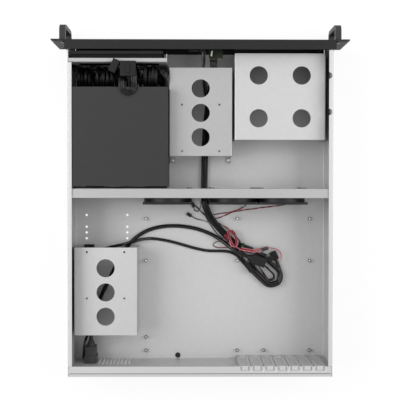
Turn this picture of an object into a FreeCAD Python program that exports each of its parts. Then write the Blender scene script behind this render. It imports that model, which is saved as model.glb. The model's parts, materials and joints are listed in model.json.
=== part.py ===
"""Two-unit rack server case with its lid off, in millimetres.

+X points to the right of someone who faces the front panel, +Y to the rear, +Z up.
The origin is on the underside, midway between the sides, level with the front face of the panel.
Each separate piece is written to parts/NODE.step.
"""

import FreeCAD, Part
import math
import os

V = FreeCAD.Vector

# ---- Rack panel and body -------------------------------------------------------------
PANEL_WIDTH = 482.6
PANEL_HEIGHT = 88.0
PANEL_SHEET = 2.0
PANEL_BEND = 1.0
PANEL_LIP = 14.0  # depth of the folded top edge behind the panel
PANEL_LIP_WIDTH = 439.0
PANEL_FOOT = 9.0  # depth of the folded bottom edge
RACK_SLOT_INSET = 8.75  # slot centres from the ends of the panel
RACK_SLOT_SPACING_Z = 76.2
RACK_SLOT_LENGTH = 10.0
RACK_SLOT_WIDTH = 6.8

BODY_WIDTH = 430.0
BODY_HEIGHT = 87.0
BODY_END = 546.7  # rear end of the side walls
SHEET = 1.2  # galvanised steel of the body
BEND = 0.8  # inner radius of its folds
SIDE_LIP = 7.0  # inward top lip of the side walls
LEFT_LIP_START = 37.6
RIGHT_LIP_START = 17.0
LIP_NOTCH_RADIUS = 5.3
LIP_NOTCH_PLACES = (58.1, 116.9)
SEAT = 0.3  # play between pieces that are laid on each other
SLIP = 0.2  # play between pieces that slide into each other
TINY = 0.01  # lengths under this are equal
ARC_SHARE = 0.45  # of a lead's shorter run that the arc at its corner takes
SCREW_ROUNDING = 0.45  # of a screw head's height that its edge rounds

# ---- Handles -------------------------------------------------------------------------
HANDLE_INSET = 17.2  # centre of each handle from the end of the panel
HANDLE_WIDTH = 9.8
HANDLE_REACH = 26.5
HANDLE_SPAN = 70.0
HANDLE_BAR = 7.0
HANDLE_CORNER = 11.0
HANDLE_SCREW_RADIUS = 2.0
HANDLE_HOLE_DEPTH = 9.0
HANDLE_SCREW = (HANDLE_SCREW_RADIUS, 10.0, 2.4, 4.0)  # radius, length, head's height and radius

# ---- Front intake on the left --------------------------------------------------------
FRONT_WALL_BACK = 37.2
FRONT_WALL_LIP = 6.5
FRONT_WALL_END = 54.1
FRONT_WALL_RETURN = 13.2
FRONT_WALL_WINDOW_MARGIN = 14.0
FILTER_DEPTH = 5.0
FILTER_RIM = 5.0
FILTER_BAR = 2.0
FILTER_BARS = 5
INTAKE_SLOT_LENGTH = 30.0
INTAKE_SLOT_WIDTH = 4.0
INTAKE_PITCH_X = 36.0
INTAKE_PITCH_Z = 9.0
INTAKE_COLUMNS = 4
INTAKE_ROWS = 7

# ---- Power supply --------------------------------------------------------------------
PSU_WIDTH = 155.2
PSU_LENGTH = 160.2
PSU_HEADROOM = 1.0  # between the power supply and the lid
PSU_SHEET = 1.0
PSU_START = 76.7
PSU_LEFT_GAP = 6.0  # between the power supply and the side wall
PSU_FAN_GAP = 4.0  # between the power supply's fan and its inner side
PSU_VENT_RADIUS = 2.6
PSU_VENT_PITCH = 7.0
PSU_SOCKET_X = 30.0  # socket centre from the power supply's outer side
PSU_SOCKET_Z = 24.0
PSU_SWITCH_Z = 57.0
PSU_SWITCH_WIDTH = 20.0
PSU_SWITCH_HEIGHT = 13.0
PSU_SWITCH_WALL = 2.0
PSU_SWITCH_DEPTH = 12.0
PSU_FLANGE = 1.2  # rims of the switch and the socket on the rear face
ROCKER_HEIGHT = 7.8
ROCKER_DEPTH = 3.0
ROCKER_PROUD = 3.4
ROCKER_DIP = 0.8
ROCKER_PIN_RADIUS = 1.0
ROCKER_REST = 8.0  # degrees that the rocker leans at rest
PSU_LEAD_HOLE_RADIUS = 2.7

# ---- Drive cages ---------------------------------------------------------------------
CAGE_WIDTH = 104.4
CAGE_HEIGHT = 60.3  # from the floor to its top
CAGE_LENGTH = 145.0
FRONT_CAGE_X = -0.5
FRONT_CAGE_START = 42.2
REAR_CAGE_GAP = 5.4  # between the rear cage and the side wall
REAR_CAGE_START = 338.5
CAGE_HOLE_RADIUS = 15.0
CAGE_HOLE_PITCH = 40.1
CAGE_HOLE_FIRST = 34.0  # behind the cage's front edge
CAGE_FOOT_WIDTH = 9.0
CAGE_FOOT_LENGTH = 10.5
CAGE_FOOT_BRACE = 3.6
DRIVE_HOLE_RADIUS = 1.7
DRIVE_SPACING_X = 61.72
DRIVE_SPACING_Y = 76.6
FRONT_DRIVE_PLACE = 98.9  # centre of the small-drive holes behind the front cage's front edge
REAR_DRIVE_PLACE = 45.7
SIDE_HOLE_PLACES = (28.5, 70.0, 130.0)
SIDE_HOLE_HEIGHTS = (9.0, 38.0)

WIDE_CAGE_WIDTH = 149.2
WIDE_CAGE_HEIGHT = 64.8
WIDE_CAGE_LENGTH = 141.5
WIDE_CAGE_START = 19.2
WIDE_CAGE_GAP = 8.2  # between the wide cage and the side wall
WIDE_HOLE_SPACING_X = 70.6
WIDE_HOLE_SPACING_Y = 70.2
WIDE_HOLE_FIRST = 36.0
BAY_WIDTH = 146.0
BAY_HEIGHT = 41.4
BAY_TOP_GAP = 4.5  # between the bay and the wide cage's top
BAY_PLAY = 0.4
BAY_COVER_DEPTH = 9.0
BAY_COVER_WALL = 2.0
BAY_COVER_EDGE = 0.6
WIDE_SIDE_HOLE_HEIGHTS = (30.0,)

# ---- Crossbar and fans ---------------------------------------------------------------
BAR_START = 240.8
BAR_DEPTH = 15.3
BAR_APRON = 13.0  # front edge folded down where there is no fan
BAR_EAR = 16.0
FAN_HEADROOM = 3.5  # between the fans and the crossbar
FAN_DEPTH = 25.0
FAN_WALL = 2.0  # of the frame beside its duct
FAN_FLANGE = 4.0
FAN_SCREW_INSET = 4.25
FAN_SCREW_RADIUS = 2.1
FAN_SCREW = (FAN_SCREW_RADIUS, 9.0, 1.6, 3.8)  # radius, length, head's height and radius
FIRST_FAN_X = 53.9
SECOND_FAN_X = -54.5
FAN_GAP = 0.5  # between the second fan and the third
FAN_WALL_MARGIN = 1.0
FAN_CORNER = 4.0
FAN_STRUT = 4.0
FAN_STRUT_DEPTH = 3.0
CUP_DEPTH = 4.0
BEARING_LENGTH = 7.0
ROTOR_INSET = 1.0
HUB_RADIUS = 16.0
HUB_LENGTH = 17.0
HUB_WALL = 2.0
HUB_EDGE = 1.5
HUB_FACE = 3.0
BLADES = 7
BLADE_THICKNESS = 1.6
BLADE_GAP = 1.5
BLADE_PITCHES = (52.0, 30.0)  # at the hub and at the tip, degrees
SHAFT_RADIUS = 1.5
SHAFT_PLAY = 0.05
CABLE_NOTCH_HEIGHT = 30.0
CABLE_NOTCH_LEFT = 13.0
CABLE_NOTCH_RIGHT = 13.4

# ---- Rear ----------------------------------------------------------------------------
REAR_WALL = 536.2  # outer face behind the board's connectors
SLOT_WALL = 530.0  # inner face at the card slots
SLOT_WALL_END = -61.0
RAIL_START = 529.8
RAIL_WEB = 11.2
RAIL_SEAT_GAP = 0.6  # between the rail's ends and the side walls
WALL_NOTCH_START = 4.8  # notch in the side walls' top, behind the rail's front edge
IO_WIDTH = 158.75
IO_HEIGHT = 44.45
IO_CENTRE_X = 21.9
IO_BOTTOM = 3.0
IO_PLATE_OVERLAP = 1.5
IO_PLATE_SHEET = 0.4
IO_PLATE_PLAY = 1.0
SLOT_COUNT = 7
SLOT_PITCH = 20.32
FIRST_SLOT_X = -194.7
SLOT_OPENING = 12.6
SLOT_OPENING_BOTTOM = 14.0
SLOT_OPENING_TOP = 76.0
COVER_WIDTH = 18.42
COVER_SHEET = 0.9
COVER_TAB = 5.9
COVER_TAB_WIDTH = 10.2
COVER_RIB = (11.6, 1.8)  # width and depth of the rib that is pressed into the opening
COVER_TONGUE = 10.2
COVER_TONGUE_HEIGHT = 11.0
COVER_BEND = 0.1
RAIL_NOTCH_GAP = 2.2  # between a cover's tab and the rail's fingers
RAIL_HOLE_RADIUS = 1.3
RAIL_HOLE_Y = 537.8
VENT_CENTRE_X = 144.5
VENT_BOTTOM = 8.0
VENT_HOLE_RADIUS = 2.2
VENT_PITCH = 6.2
VENT_COLUMNS = 9
VENT_ROWS = 6
INLET_GAP = 29.3  # from the side wall to the middle of the mains inlet
INLET_Z = 28.0
INLET_WIDTH = 20.0
INLET_HEIGHT = 27.0
INLET_DEPTH = 14.0
INLET_FLANGE = 3.0
INLET_RIM = 2.0
INLET_WALL = 2.5
INLET_PIN = (2.0, 4.0)
INLET_PIN_PITCH = 7.0
INLET_PIN_OFFSET = 2.0
BOOT_LENGTH = 15.0
BOOT_NARROWING = 3.0
SPOUT_RADIUS = 8.0
SPOUT_WALL = 0.6

# ---- Floor ---------------------------------------------------------------------------
STANDOFF_HEIGHT = 6.5
STANDOFF_ACROSS = 5.0
STANDOFF_BORE = 1.5
BOARD_PLACES_X = (93.06, -64.42, -188.88)
BOARD_PLACES_Y = (520.2, 365.2, 292.9)
EXTRA_STANDOFFS = ((-110.14, 520.2), (93.06, 497.3))
FLOOR_HOLE_RADIUS = 2.0
FLOOR_HOLE_INSETS = (18.5, 88.5)  # from the side wall
FLOOR_HOLE_PLACES_Y = (286.8, 307.0, 316.8, 327.0)
PLUG_X = 38.1
PLUG_Y = 529.0
PLUG_RADIUS = 4.5
PLUG_HEAD = 1.6
PLUG_NECK_RADIUS = 3.2

# ---- Buttons and sockets in the panel ------------------------------------------------
BUTTONS = ((12.0, 5.0), (-3.0, 2.5))  # X and radius of the power and the reset button
BUTTON_Z = 58.0
BUTTON_FLANGE = 1.0
BUTTON_PLAY = 0.3
BUTTON_PROUD = 1.6
BUTTON_TRAVEL = 1.5
BUTTON_COLLAR = 1.4
STEM_RADIUS = 1.5
STEM_LENGTH = 6.3
SWITCH_HEIGHT = 14.4
SWITCH_DEPTH = 9.0
SOCKET_COLUMNS = (-20.0, -31.0)
SOCKET_WIDTH = 7.0
SOCKET_HEIGHT = 14.5
SOCKET_DEPTH = 14.0
SOCKET_SHELL = 0.6
SOCKET_BACK = 2.0
SOCKET_TONGUE = 2.2
IO_BOARD_SHEET = 1.6
IO_BOARD_MARGIN = 2.5
IO_BOARD_DEPTH = 26.0
IO_HEADER_PLACE = (-19.0, 20.2)
IO_HEADER_SIZE = (3.0, 8.5, 6.0)
IO_SOCKET_WIDTH = 13.0
IO_SOCKET_DROP = 6.0
SWITCH_WALL = 1.2

# ---- Fixings -------------------------------------------------------------------------
SCREW_RADIUS = 1.5
FOOT_SCREW = (SCREW_RADIUS, 2.2, 1.8, 3.0)  # radius, length, head's height and radius

# ---- Leads: diameters ----------------------------------------------------------------
MAINS_LEAD = 6.5
DRIVE_LEAD = 5.0
FRONT_LOOM = 10.5
FAN_LEAD = 2.2
SWITCH_LEAD = 2.0
SUPPLY_LEAD = 3.0
SPARE_LEAD = 5.0

# ---- Routes of the leads: chosen points, from where each leaves the case to its free end
MAINS_ROUTE = [
    (184.5, 497, 28), (184.5, 485, 28), (183.8, 471, 22.4), (181.2, 455, 12.8), (175.4, 438, 6),
    (166, 417, 4.6), (154, 393, 4.6), (143, 370, 4.6), (131, 348, 4.6), (117, 330.5, 4.6),
    (100, 317.5, 4.6), (81, 309.5, 4.6), (61, 305.6, 4.6), (40, 305, 4.6), (19, 307.2, 4.6),
    (-1, 312, 4.6), (-19, 319, 5.5), (-36, 329, 10), (-51, 341, 17), (-66, 351, 22), (-82, 357, 22),
]
DRIVE_ROUTE = [
    (182, 347.6, 5.5), (172.5, 347.6, 5.5), (161, 343.6, 4.4), (149, 340.4, 6.6), (136, 337.6, 12.6),
    (123, 334.2, 16.5), (110, 330.4, 16.5), (97, 327.4, 11), (83, 326.8, 4.6), (66, 329, 4),
    (46, 333.2, 4), (26, 339, 4), (6, 344.6, 4), (-14, 348.6, 4), (-34, 348.4, 4), (-52, 349.6, 4),
    (-66.5, 357.6, 4), (-76.5, 371.5, 4),
]
LOOM_ROUTE = [
    (-22, 29.5, 46), (-22, 41, 46), (-21.6, 52, 39), (-20.5, 62, 27), (-18.6, 73.5, 15.8),
    (-16, 89, 9.2), (-13.4, 109, 6.9), (-11, 132, 6.9), (-9.2, 158, 6.9), (-8, 186, 6.9),
    (-7.4, 214, 6.9), (-7.2, 241, 6.9), (-7.5, 263, 6.9), (-12.5, 282, 6.9), (-23, 298.5, 6.9),
    (-36, 313.5, 6.9), (-50, 327.6, 7.2), (-63.5, 337.5, 8.4), (-77, 342.6, 8.4),
]
FAN_ROUTES = (
    [
        (12.6, 265.4, 7), (9.4, 269, 4.2), (4.8, 273.8, 2.5), (-0.8, 279.6, 2.5), (-5.8, 284.8, 2.5),
        (-10.4, 290.2, 2.5),
    ],
    [
        (-79, 268.2, 12), (-76.5, 272, 7), (-70, 275.6, 3), (-60.5, 279.6, 2.5), (-50, 284.4, 2.5),
        (-38, 290, 2.5), (-27, 292.6, 2.7),
    ],
    [
        (-146, 268.2, 9), (-140, 270.2, 5), (-127, 271.6, 2.5), (-107, 274, 2.5), (-87, 276.6, 2.5),
        (-72, 278.6, 4.4), (-60, 280.6, 6.6), (-49, 282.4, 4.6), (-36, 284, 2.5), (-23.4, 286.2, 2.7),
    ],
)
SWITCH_ROUTE = [
    (-32.4, 300.5, 6.9), (-38.4, 297.6, 8), (-46, 299.4, 5.4), (-54.6, 305.6, 2.6), (-62, 314, 2.5),
    (-67.4, 323.4, 3.4), (-69.6, 332.6, 7.4),
]
SPARE_ROUTE = [
    (62, 76.7, 36), (62, 66.5, 36.6), (62.6, 57, 43), (65, 53, 55), (71, 52.4, 66.5), (81, 53, 71.6),
    (91, 53.8, 66.5), (96, 54.8, 54), (97.2, 55.6, 39), (97, 56, 24), (97, 56, 13.6),
]
SUPPLY_TURN = (120.0, 76.0)  # centre of the supply leads' turn on top of the power supply
SUPPLY_TURN_RADII = (9.0, 12.2, 15.4)
SUPPLY_EXIT_Z = 49.0
SUPPLY_START_RUN = 6.4
SUPPLY_FALL = (  # X beyond the turn, Y and Z of each point from the top down to the exit
    (0.4, 68, 89.3), (0, 58, 84), (0.3, 51, 74), (0, 51, 62), (0.2, 57, 53), (0, 66, 49.6),
)

# ---- Closed coil of the drive lead: a flat oval ring
COIL_CENTRE = (-112.0, 380.6)
COIL_TURN = 138.0  # direction of its long axis, degrees from +X
COIL_STRAIGHT = 30.0
COIL_OUTER = 21.8
COIL_INNER = 11.2
COIL_HEIGHT = 10.4

# ---- Connectors ----------------------------------------------------------------------
POWER_PIN_PITCH = 5.0  # four-way drive connectors
POWER_PIN_RADIUS = 1.6
POWER_PINS = (-1.5, -0.5, 0.5, 1.5)
POWER_WIDTH = 21.0
POWER_THICKNESS = 8.6
POWER_LENGTH = 16.0
POWER_CORNER = 1.0
SPARE_BODY = 12.4
PLUG_BODY_START = 6.0  # behind the mains plug's strain relief
PLUG_NECK_LAP = 1.0
PLUG_BODY_END = 31.0
PLUG_BODY_WIDTH = 16.0
PLUG_BODY_HEIGHT = 14.4
PLUG_BODY_CORNER = 2.0
PLUG_NECK_WALL = 0.8
PLUG_WELL = (2.6, 4.2)
PLUG_WELL_DEPTH = 18.0
PLUG_WELL_OFFSET = 1.6
LOOM_END_LENGTH = 14.0
LOOM_END_WIDTH = 10.6
LOOM_END_TOP = 13.4
LOOM_END_WELL = 1.2
LOOM_END_PITCH = 2.4
TIE_WIDTH = 3.6
TIE_SHEET = 1.2
TIE_HEAD = (4.8, 5.0, 3.4)
TIE_BACK = 6.4  # before the loom's end
DRIVE_PLUG_PLACE = (-125.2, 347.2)
DRIVE_PLUG_TURN = 200.0
DRIVE_PLUG_SIZE = (10.0, 13.0, 8.0)
DRIVE_PLUG_NECK = (4.0, 2.6, 5.0)
DRIVE_PLUG_WELL = (7.6, 9.0, 4.8)
BOARD_CONNECTOR_X = (104.0, 129.0)
BOARD_CONNECTOR_BACK = 60.4
BOARD_CONNECTOR_LENGTH = 24.0
CONNECTOR_THICKNESS = 10.0
CONNECTOR_PITCH = 4.2
CONNECTOR_WELL = 2.6
BOARD_CONNECTOR_WAYS = 6
LATCH = (6.0, 14.0, 2.0)
SIDE_CONNECTOR_PLACE = (138.6, 44.0)
SIDE_CONNECTOR_TURN = -24.0
SIDE_CONNECTOR_WIDTH = 11.2
SIDE_CONNECTOR_LENGTH = 21.0

# ---- Worked out from the above -------------------------------------------------------
HALF = BODY_WIDTH / 2
INSIDE = HALF - SHEET  # inner face of the side walls
FLOOR = SHEET  # top of the floor
LIP_UNDER = BODY_HEIGHT - SHEET
FLOOR_START = PANEL_SHEET + PANEL_FOOT + SLIP
INLET_X = INSIDE - INLET_GAP
PSU_OUTER = INSIDE - PSU_LEFT_GAP
PSU_INNER = PSU_OUTER - PSU_WIDTH
PSU_TOP = BODY_HEIGHT - PSU_HEADROOM
PSU_MIDDLE = (FLOOR + PSU_TOP) / 2
PSU_END = PSU_START + PSU_LENGTH
CAGE_TOP = FLOOR + CAGE_HEIGHT
REAR_CAGE_X = INSIDE - REAR_CAGE_GAP - CAGE_WIDTH / 2
WIDE_CAGE_X = -(INSIDE - WIDE_CAGE_GAP - WIDE_CAGE_WIDTH / 2)
WIDE_CAGE_TOP = FLOOR + WIDE_CAGE_HEIGHT
FAN_SIZE = BODY_HEIGHT - 2 * SHEET - BEND - SEAT - FAN_HEADROOM
FAN_Z = FLOOR + SEAT + FAN_SIZE / 2
FAN_BORE = FAN_SIZE / 2 - FAN_WALL  # radius of the duct
FAN_SCREW_SPACING = FAN_SIZE - 2 * FAN_SCREW_INSET
FAN_CENTRES = (FIRST_FAN_X, SECOND_FAN_X, SECOND_FAN_X - FAN_SIZE - FAN_GAP)
FAN_FACE = BAR_START + SHEET  # front faces of the fans
PSU_FAN_X = PSU_INNER + PSU_SHEET + PSU_FAN_GAP + FAN_SIZE / 2  # its axis
PSU_FAN_END = PSU_END - PSU_SHEET
BAY_TOP = WIDE_CAGE_TOP - SHEET - BAY_TOP_GAP
HANDLE_MIDDLE = PANEL_HEIGHT / 2
HANDLE_X = PANEL_WIDTH / 2 - HANDLE_INSET
RACK_SLOT_SPACING_X = PANEL_WIDTH - 2 * RACK_SLOT_INSET
CONNECTOR_LIE = BODY_HEIGHT + SEAT  # underside of the connectors that lie on the front wall's lip
SUPPLY_START_Z = CONNECTOR_LIE + CONNECTOR_THICKNESS / 2 + SEAT
SUPPLY_EXITS = [(SUPPLY_TURN[0] + radius, SUPPLY_EXIT_Z) for radius in SUPPLY_TURN_RADII]
SUPPLY_EXITS.append((SPARE_ROUTE[0][0], SPARE_ROUTE[0][2]))


# ---- Helpers -------------------------------------------------------------------------
def box(x, y, z):
    """A block between two values on each axis."""
    return Part.makeBox(x[1] - x[0], y[1] - y[0], z[1] - z[0], V(x[0], y[0], z[0]))


def span(middle, size):
    """The two ends of a size about its middle."""
    return (middle - size / 2, middle + size / 2)


def rod(radius, start, run):
    """A cylinder from a point along a vector as long as it is."""
    return Part.makeCylinder(radius, run.Length, start, run)


def join(*shapes):
    """One solid from shapes that touch or overlap."""
    whole = shapes[0].fuse(list(shapes[1:])) if len(shapes) > 1 else shapes[0]
    return whole.removeSplitter()


def group(solids):
    """Separate solids kept in one node."""
    return Part.makeCompound(list(solids))


def turned(shape, centre, axis, degrees):
    """A copy turned about a point."""
    copy = shape.copy()
    copy.rotate(centre, axis, degrees)
    return copy


def moved(shape, by):
    """A copy moved by a vector."""
    copy = shape.copy()
    copy.translate(by)
    return copy


def long_edges(shape, length):
    """The edges of a shape that run along X for more than a length."""
    return [edge for edge in shape.Edges if edge.BoundBox.XLength > length]


def save(name, shape):
    """Write one node."""
    shape.exportStep("parts/%s.step" % name)


def softened(points, radii):
    """Edges of an open line whose inner corners are arcs."""
    edges = []
    here = points[0]
    for before, corner, after, radius in zip(points, points[1:], points[2:], radii):
        back = (before - corner).normalize()
        ahead = (after - corner).normalize()
        half = back.getAngle(ahead) / 2
        reach = radius / math.tan(half)
        middle = (back + ahead).normalize() * (radius / math.sin(half) - radius)
        first = corner + back * reach
        last = corner + ahead * reach
        edges.append(Part.LineSegment(here, first).toShape())
        edges.append(Part.Arc(first, corner + middle, last).toShape())
        here = last
    edges.append(Part.LineSegment(here, points[-1]).toShape())
    return edges


def folded(line, thick, along, start, length, bend=BEND):
    """A folded sheet: a line of face points in a plane, thickened to its left and run along an axis."""
    points = [V(u, v, 0) for u, v in line]
    runs = [(b - a).normalize() for a, b in zip(points, points[1:])]
    lefts = [V(-run.y, run.x, 0) for run in runs]
    other = [points[0] + lefts[0] * thick]
    face_radii = []
    other_radii = []
    for place, (left, following) in enumerate(zip(lefts, lefts[1:]), 1):
        other.append(points[place] + (left + following) * (thick / (1 + left.dot(following))))
        inward = runs[place - 1].cross(runs[place]).z > 0
        face_radii.append(bend + thick if inward else bend)
        other_radii.append(bend if inward else bend + thick)
    other.append(points[-1] + lefts[-1] * thick)
    edges = softened(points, face_radii)
    edges.append(Part.LineSegment(points[-1], other[-1]).toShape())
    edges += softened(other[::-1], other_radii[::-1])
    edges.append(Part.LineSegment(other[0], points[0]).toShape())
    place, run = {
        "x": (FreeCAD.Placement(FreeCAD.Matrix(0, 0, 1, start, 1, 0, 0, 0, 0, 1, 0, 0)), V(length, 0, 0)),
        "y": (FreeCAD.Placement(FreeCAD.Matrix(1, 0, 0, 0, 0, 0, -1, start, 0, 1, 0, 0)), V(0, length, 0)),
        "z": (FreeCAD.Placement(FreeCAD.Matrix(1, 0, 0, 0, 0, 1, 0, 0, 0, 0, 1, start)), V(0, 0, length)),
    }[along]
    face = Part.Face(Part.Wire(edges))
    face.Placement = place
    return face.extrude(run)


def slot_hole(x, y, z, length, width):
    """A cutter for a slot along X through a plate that lies across Y."""
    reach = length / 2 - width / 2
    middle = box((x - reach, x + reach), y, span(z, width))
    ends = [rod(width / 2, V(x + side * reach, y[0], z), V(0, y[1] - y[0], 0)) for side in (-1, 1)]
    return join(middle, *ends)


def screw(head_at, way, radius, length, head, head_radius):
    """A pan-head screw whose head stands on a face, with its shank along way."""
    shank = rod(radius, head_at, way * length)
    cap = rod(head_radius, head_at, way * -head)
    rim = [edge for edge in cap.Edges if (edge.CenterOfMass - head_at - way * -head).Length < TINY]
    cap = cap.makeFillet(head * SCREW_ROUNDING, rim)
    return join(shank, cap)


# ---- Body ----------------------------------------------------------------------------
def tray():
    """Floor, side walls and their inward top lips, from one sheet."""
    line = [
        (-HALF + SIDE_LIP, BODY_HEIGHT),
        (-HALF, BODY_HEIGHT),
        (-HALF, 0),
        (HALF, 0),
        (HALF, BODY_HEIGHT),
        (HALF - SIDE_LIP, BODY_HEIGHT),
    ]
    front = PANEL_SHEET + SLIP
    shape = folded(line, SHEET, "y", front, BODY_END - front)
    under_lip = LIP_UNDER - BEND
    cuts = [
        box((-HALF, HALF), (front, FLOOR_START), (0, FLOOR + BEND + SHEET)),
        box((-HALF, -HALF + SIDE_LIP), (front, RIGHT_LIP_START), (under_lip - SHEET, BODY_HEIGHT)),
        box((HALF - SIDE_LIP, HALF), (front, LEFT_LIP_START), (under_lip - SHEET, BODY_HEIGHT)),
        box((-INSIDE, INSIDE), (RAIL_START - SEAT, BODY_END), (under_lip - SHEET, BODY_HEIGHT)),
        rod(PLUG_NECK_RADIUS + SLIP, V(PLUG_X, PLUG_Y, 0), V(0, 0, FLOOR)),
    ]
    for side in (-1, 1):
        wall = sorted((side * HALF, side * INSIDE))
        notch = (RAIL_START + WALL_NOTCH_START, RAIL_START + RAIL_WEB)
        cuts.append(box(wall, notch, (under_lip - SHEET, BODY_HEIGHT)))
    for place in LIP_NOTCH_PLACES:
        centre = V(-HALF + SIDE_LIP, place, LIP_UNDER)
        cuts.append(rod(LIP_NOTCH_RADIUS, centre, V(0, 0, SHEET)))
    for inset in FLOOR_HOLE_INSETS:
        x = INSIDE - inset
        cuts += [rod(FLOOR_HOLE_RADIUS, V(x, y, 0), V(0, 0, FLOOR)) for y in FLOOR_HOLE_PLACES_Y]
    for x, y in standoff_places():
        cuts.append(rod(STANDOFF_BORE, V(x, y, 0), V(0, 0, FLOOR)))
    for x, y in foot_screw_places():
        cuts.append(rod(SCREW_RADIUS + SHAFT_PLAY, V(x, y, 0), V(0, 0, FLOOR)))
    return shape.cut(cuts)


def front_wall():
    """Wall behind the intake, with a forward top lip, a forward foot and a forward return at its end."""
    lip_edge = FRONT_WALL_BACK - FRONT_WALL_LIP
    foot_edge = FRONT_WALL_BACK - FRONT_WALL_RETURN
    line = [
        (foot_edge, FLOOR),
        (FRONT_WALL_BACK, FLOOR),
        (FRONT_WALL_BACK, BODY_HEIGHT),
        (lip_edge, BODY_HEIGHT),
    ]
    shape = folded(line, SHEET, "x", FRONT_WALL_END, INSIDE - BEND - FRONT_WALL_END)
    end = box((FRONT_WALL_END, FRONT_WALL_END + SHEET), (foot_edge, FRONT_WALL_BACK), (FLOOR, BODY_HEIGHT))
    margin = FRONT_WALL_WINDOW_MARGIN
    window = box(
        (FRONT_WALL_END + margin, INSIDE - margin),
        (FRONT_WALL_BACK - SHEET, FRONT_WALL_BACK),
        (FLOOR + margin, BODY_HEIGHT - margin),
    )
    return join(shape, end).cut(window)


def filter_frame():
    """Open plastic frame with thin bars that holds the intake's dust filter."""
    back = FRONT_WALL_BACK - FRONT_WALL_RETURN - SEAT
    depth = (back - FILTER_DEPTH, back)
    x = (FRONT_WALL_END + FRONT_WALL_RETURN / 2, INSIDE - SLIP - FILTER_RIM)
    z = (FLOOR + SEAT, PANEL_HEIGHT - PANEL_SHEET - 2 * SEAT)
    hollow = box((x[0] + FILTER_RIM, x[1] - FILTER_RIM), depth, (z[0] + FILTER_RIM, z[1] - FILTER_RIM))
    shape = box(x, depth, z).cut(hollow)
    pitch = (x[1] - x[0]) / (FILTER_BARS + 1)
    middle = (depth[0] + FILTER_DEPTH / 3, depth[1] - FILTER_DEPTH / 3)
    bars = [box(span(x[0] + pitch * n, FILTER_BAR), middle, z) for n in range(1, FILTER_BARS + 1)]
    return join(shape, *bars)


def cage(width, height, length, centre_x, start, holes, small_holes, tops):
    """A drive cage: a sheet folded down at both sides, with big round holes and small screw holes."""
    left, right = span(centre_x, width)
    top = FLOOR + height
    line = [(left, FLOOR), (left, top), (right, top), (right, FLOOR)]
    shape = folded(line[::-1], SHEET, "y", start, length)
    cuts = [rod(CAGE_HOLE_RADIUS, V(x, y, top - SHEET), V(0, 0, SHEET)) for x, y in holes]
    cuts += [rod(DRIVE_HOLE_RADIUS, V(x, y, top - SHEET), V(0, 0, SHEET)) for x, y in small_holes]
    for y in SIDE_HOLE_PLACES:
        cuts += [rod(DRIVE_HOLE_RADIUS, V(left, start + y, FLOOR + z), V(width, 0, 0)) for z in tops]
    return shape.cut(cuts)


def foot(x, y_start, y_end, side_x):
    """A tab on the floor that carries on a cage's side wall, with its screw hole."""
    plate = box(x, (y_start, y_end), (FLOOR, FLOOR + SHEET))
    brace = box(side_x, (y_start, y_end), (FLOOR, FLOOR + CAGE_FOOT_BRACE))
    hole = rod(SCREW_RADIUS + SHAFT_PLAY, V(sum(x) / 2, (y_start + y_end) / 2, FLOOR), V(0, 0, SHEET))
    return join(plate, brace).cut(hole)


def cage_feet(centre_x, start, outward):
    """Places of a cage's feet: X range of each tab, its Y range and the X range of the wall it is on."""
    left, right = span(centre_x, CAGE_WIDTH)
    end = start + CAGE_LENGTH
    reach = CAGE_FOOT_LENGTH
    ends = ((start - reach, start), (end, end + reach))
    if not outward:
        ends = ((start, start + reach), (end - reach, end))
    feet = []
    for y in ends:
        feet.append(((left, left + CAGE_FOOT_WIDTH), y, (left, left + SHEET)))
        feet.append(((right - CAGE_FOOT_WIDTH, right), y, (right - SHEET, right)))
    return feet


def foot_screw_places():
    """Centres of the screws that hold both narrow cages to the floor."""
    places = []
    for cage_place in ((FRONT_CAGE_X, FRONT_CAGE_START, True), (REAR_CAGE_X, REAR_CAGE_START, False)):
        places += [(sum(tab) / 2, sum(y) / 2) for tab, y, wall in cage_feet(*cage_place)]
    return places


def narrow_cage(centre_x, start, outward, drive_place):
    """A cage for two narrow drives, standing on four feet."""
    holes = [(centre_x, start + CAGE_HOLE_FIRST + CAGE_HOLE_PITCH * n) for n in range(3)]
    small = [
        (centre_x + side * DRIVE_SPACING_X / 2, start + drive_place + end * DRIVE_SPACING_Y / 2)
        for side in (-1, 1)
        for end in (-1, 1)
    ]
    shape = cage(CAGE_WIDTH, CAGE_HEIGHT, CAGE_LENGTH, centre_x, start, holes, small, SIDE_HOLE_HEIGHTS)
    feet = [foot(x, y[0], y[1], wall) for x, y, wall in cage_feet(centre_x, start, outward)]
    return join(shape, *feet)


def wide_cage():
    """The cage for a wide drive, standing on its own side walls."""
    size = (WIDE_CAGE_WIDTH, WIDE_CAGE_HEIGHT, WIDE_CAGE_LENGTH)
    first = WIDE_CAGE_START + WIDE_HOLE_FIRST
    holes = [
        (WIDE_CAGE_X + side * WIDE_HOLE_SPACING_X / 2, first + n * WIDE_HOLE_SPACING_Y)
        for side in (-1, 1)
        for n in range(2)
    ]
    return cage(*size, WIDE_CAGE_X, WIDE_CAGE_START, holes, [], WIDE_SIDE_HOLE_HEIGHTS)


def foot_screws():
    """The screws of both narrow cages."""
    down = V(0, 0, -1)
    return group([screw(V(x, y, FLOOR + SHEET), down, *FOOT_SCREW) for x, y in foot_screw_places()])


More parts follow.
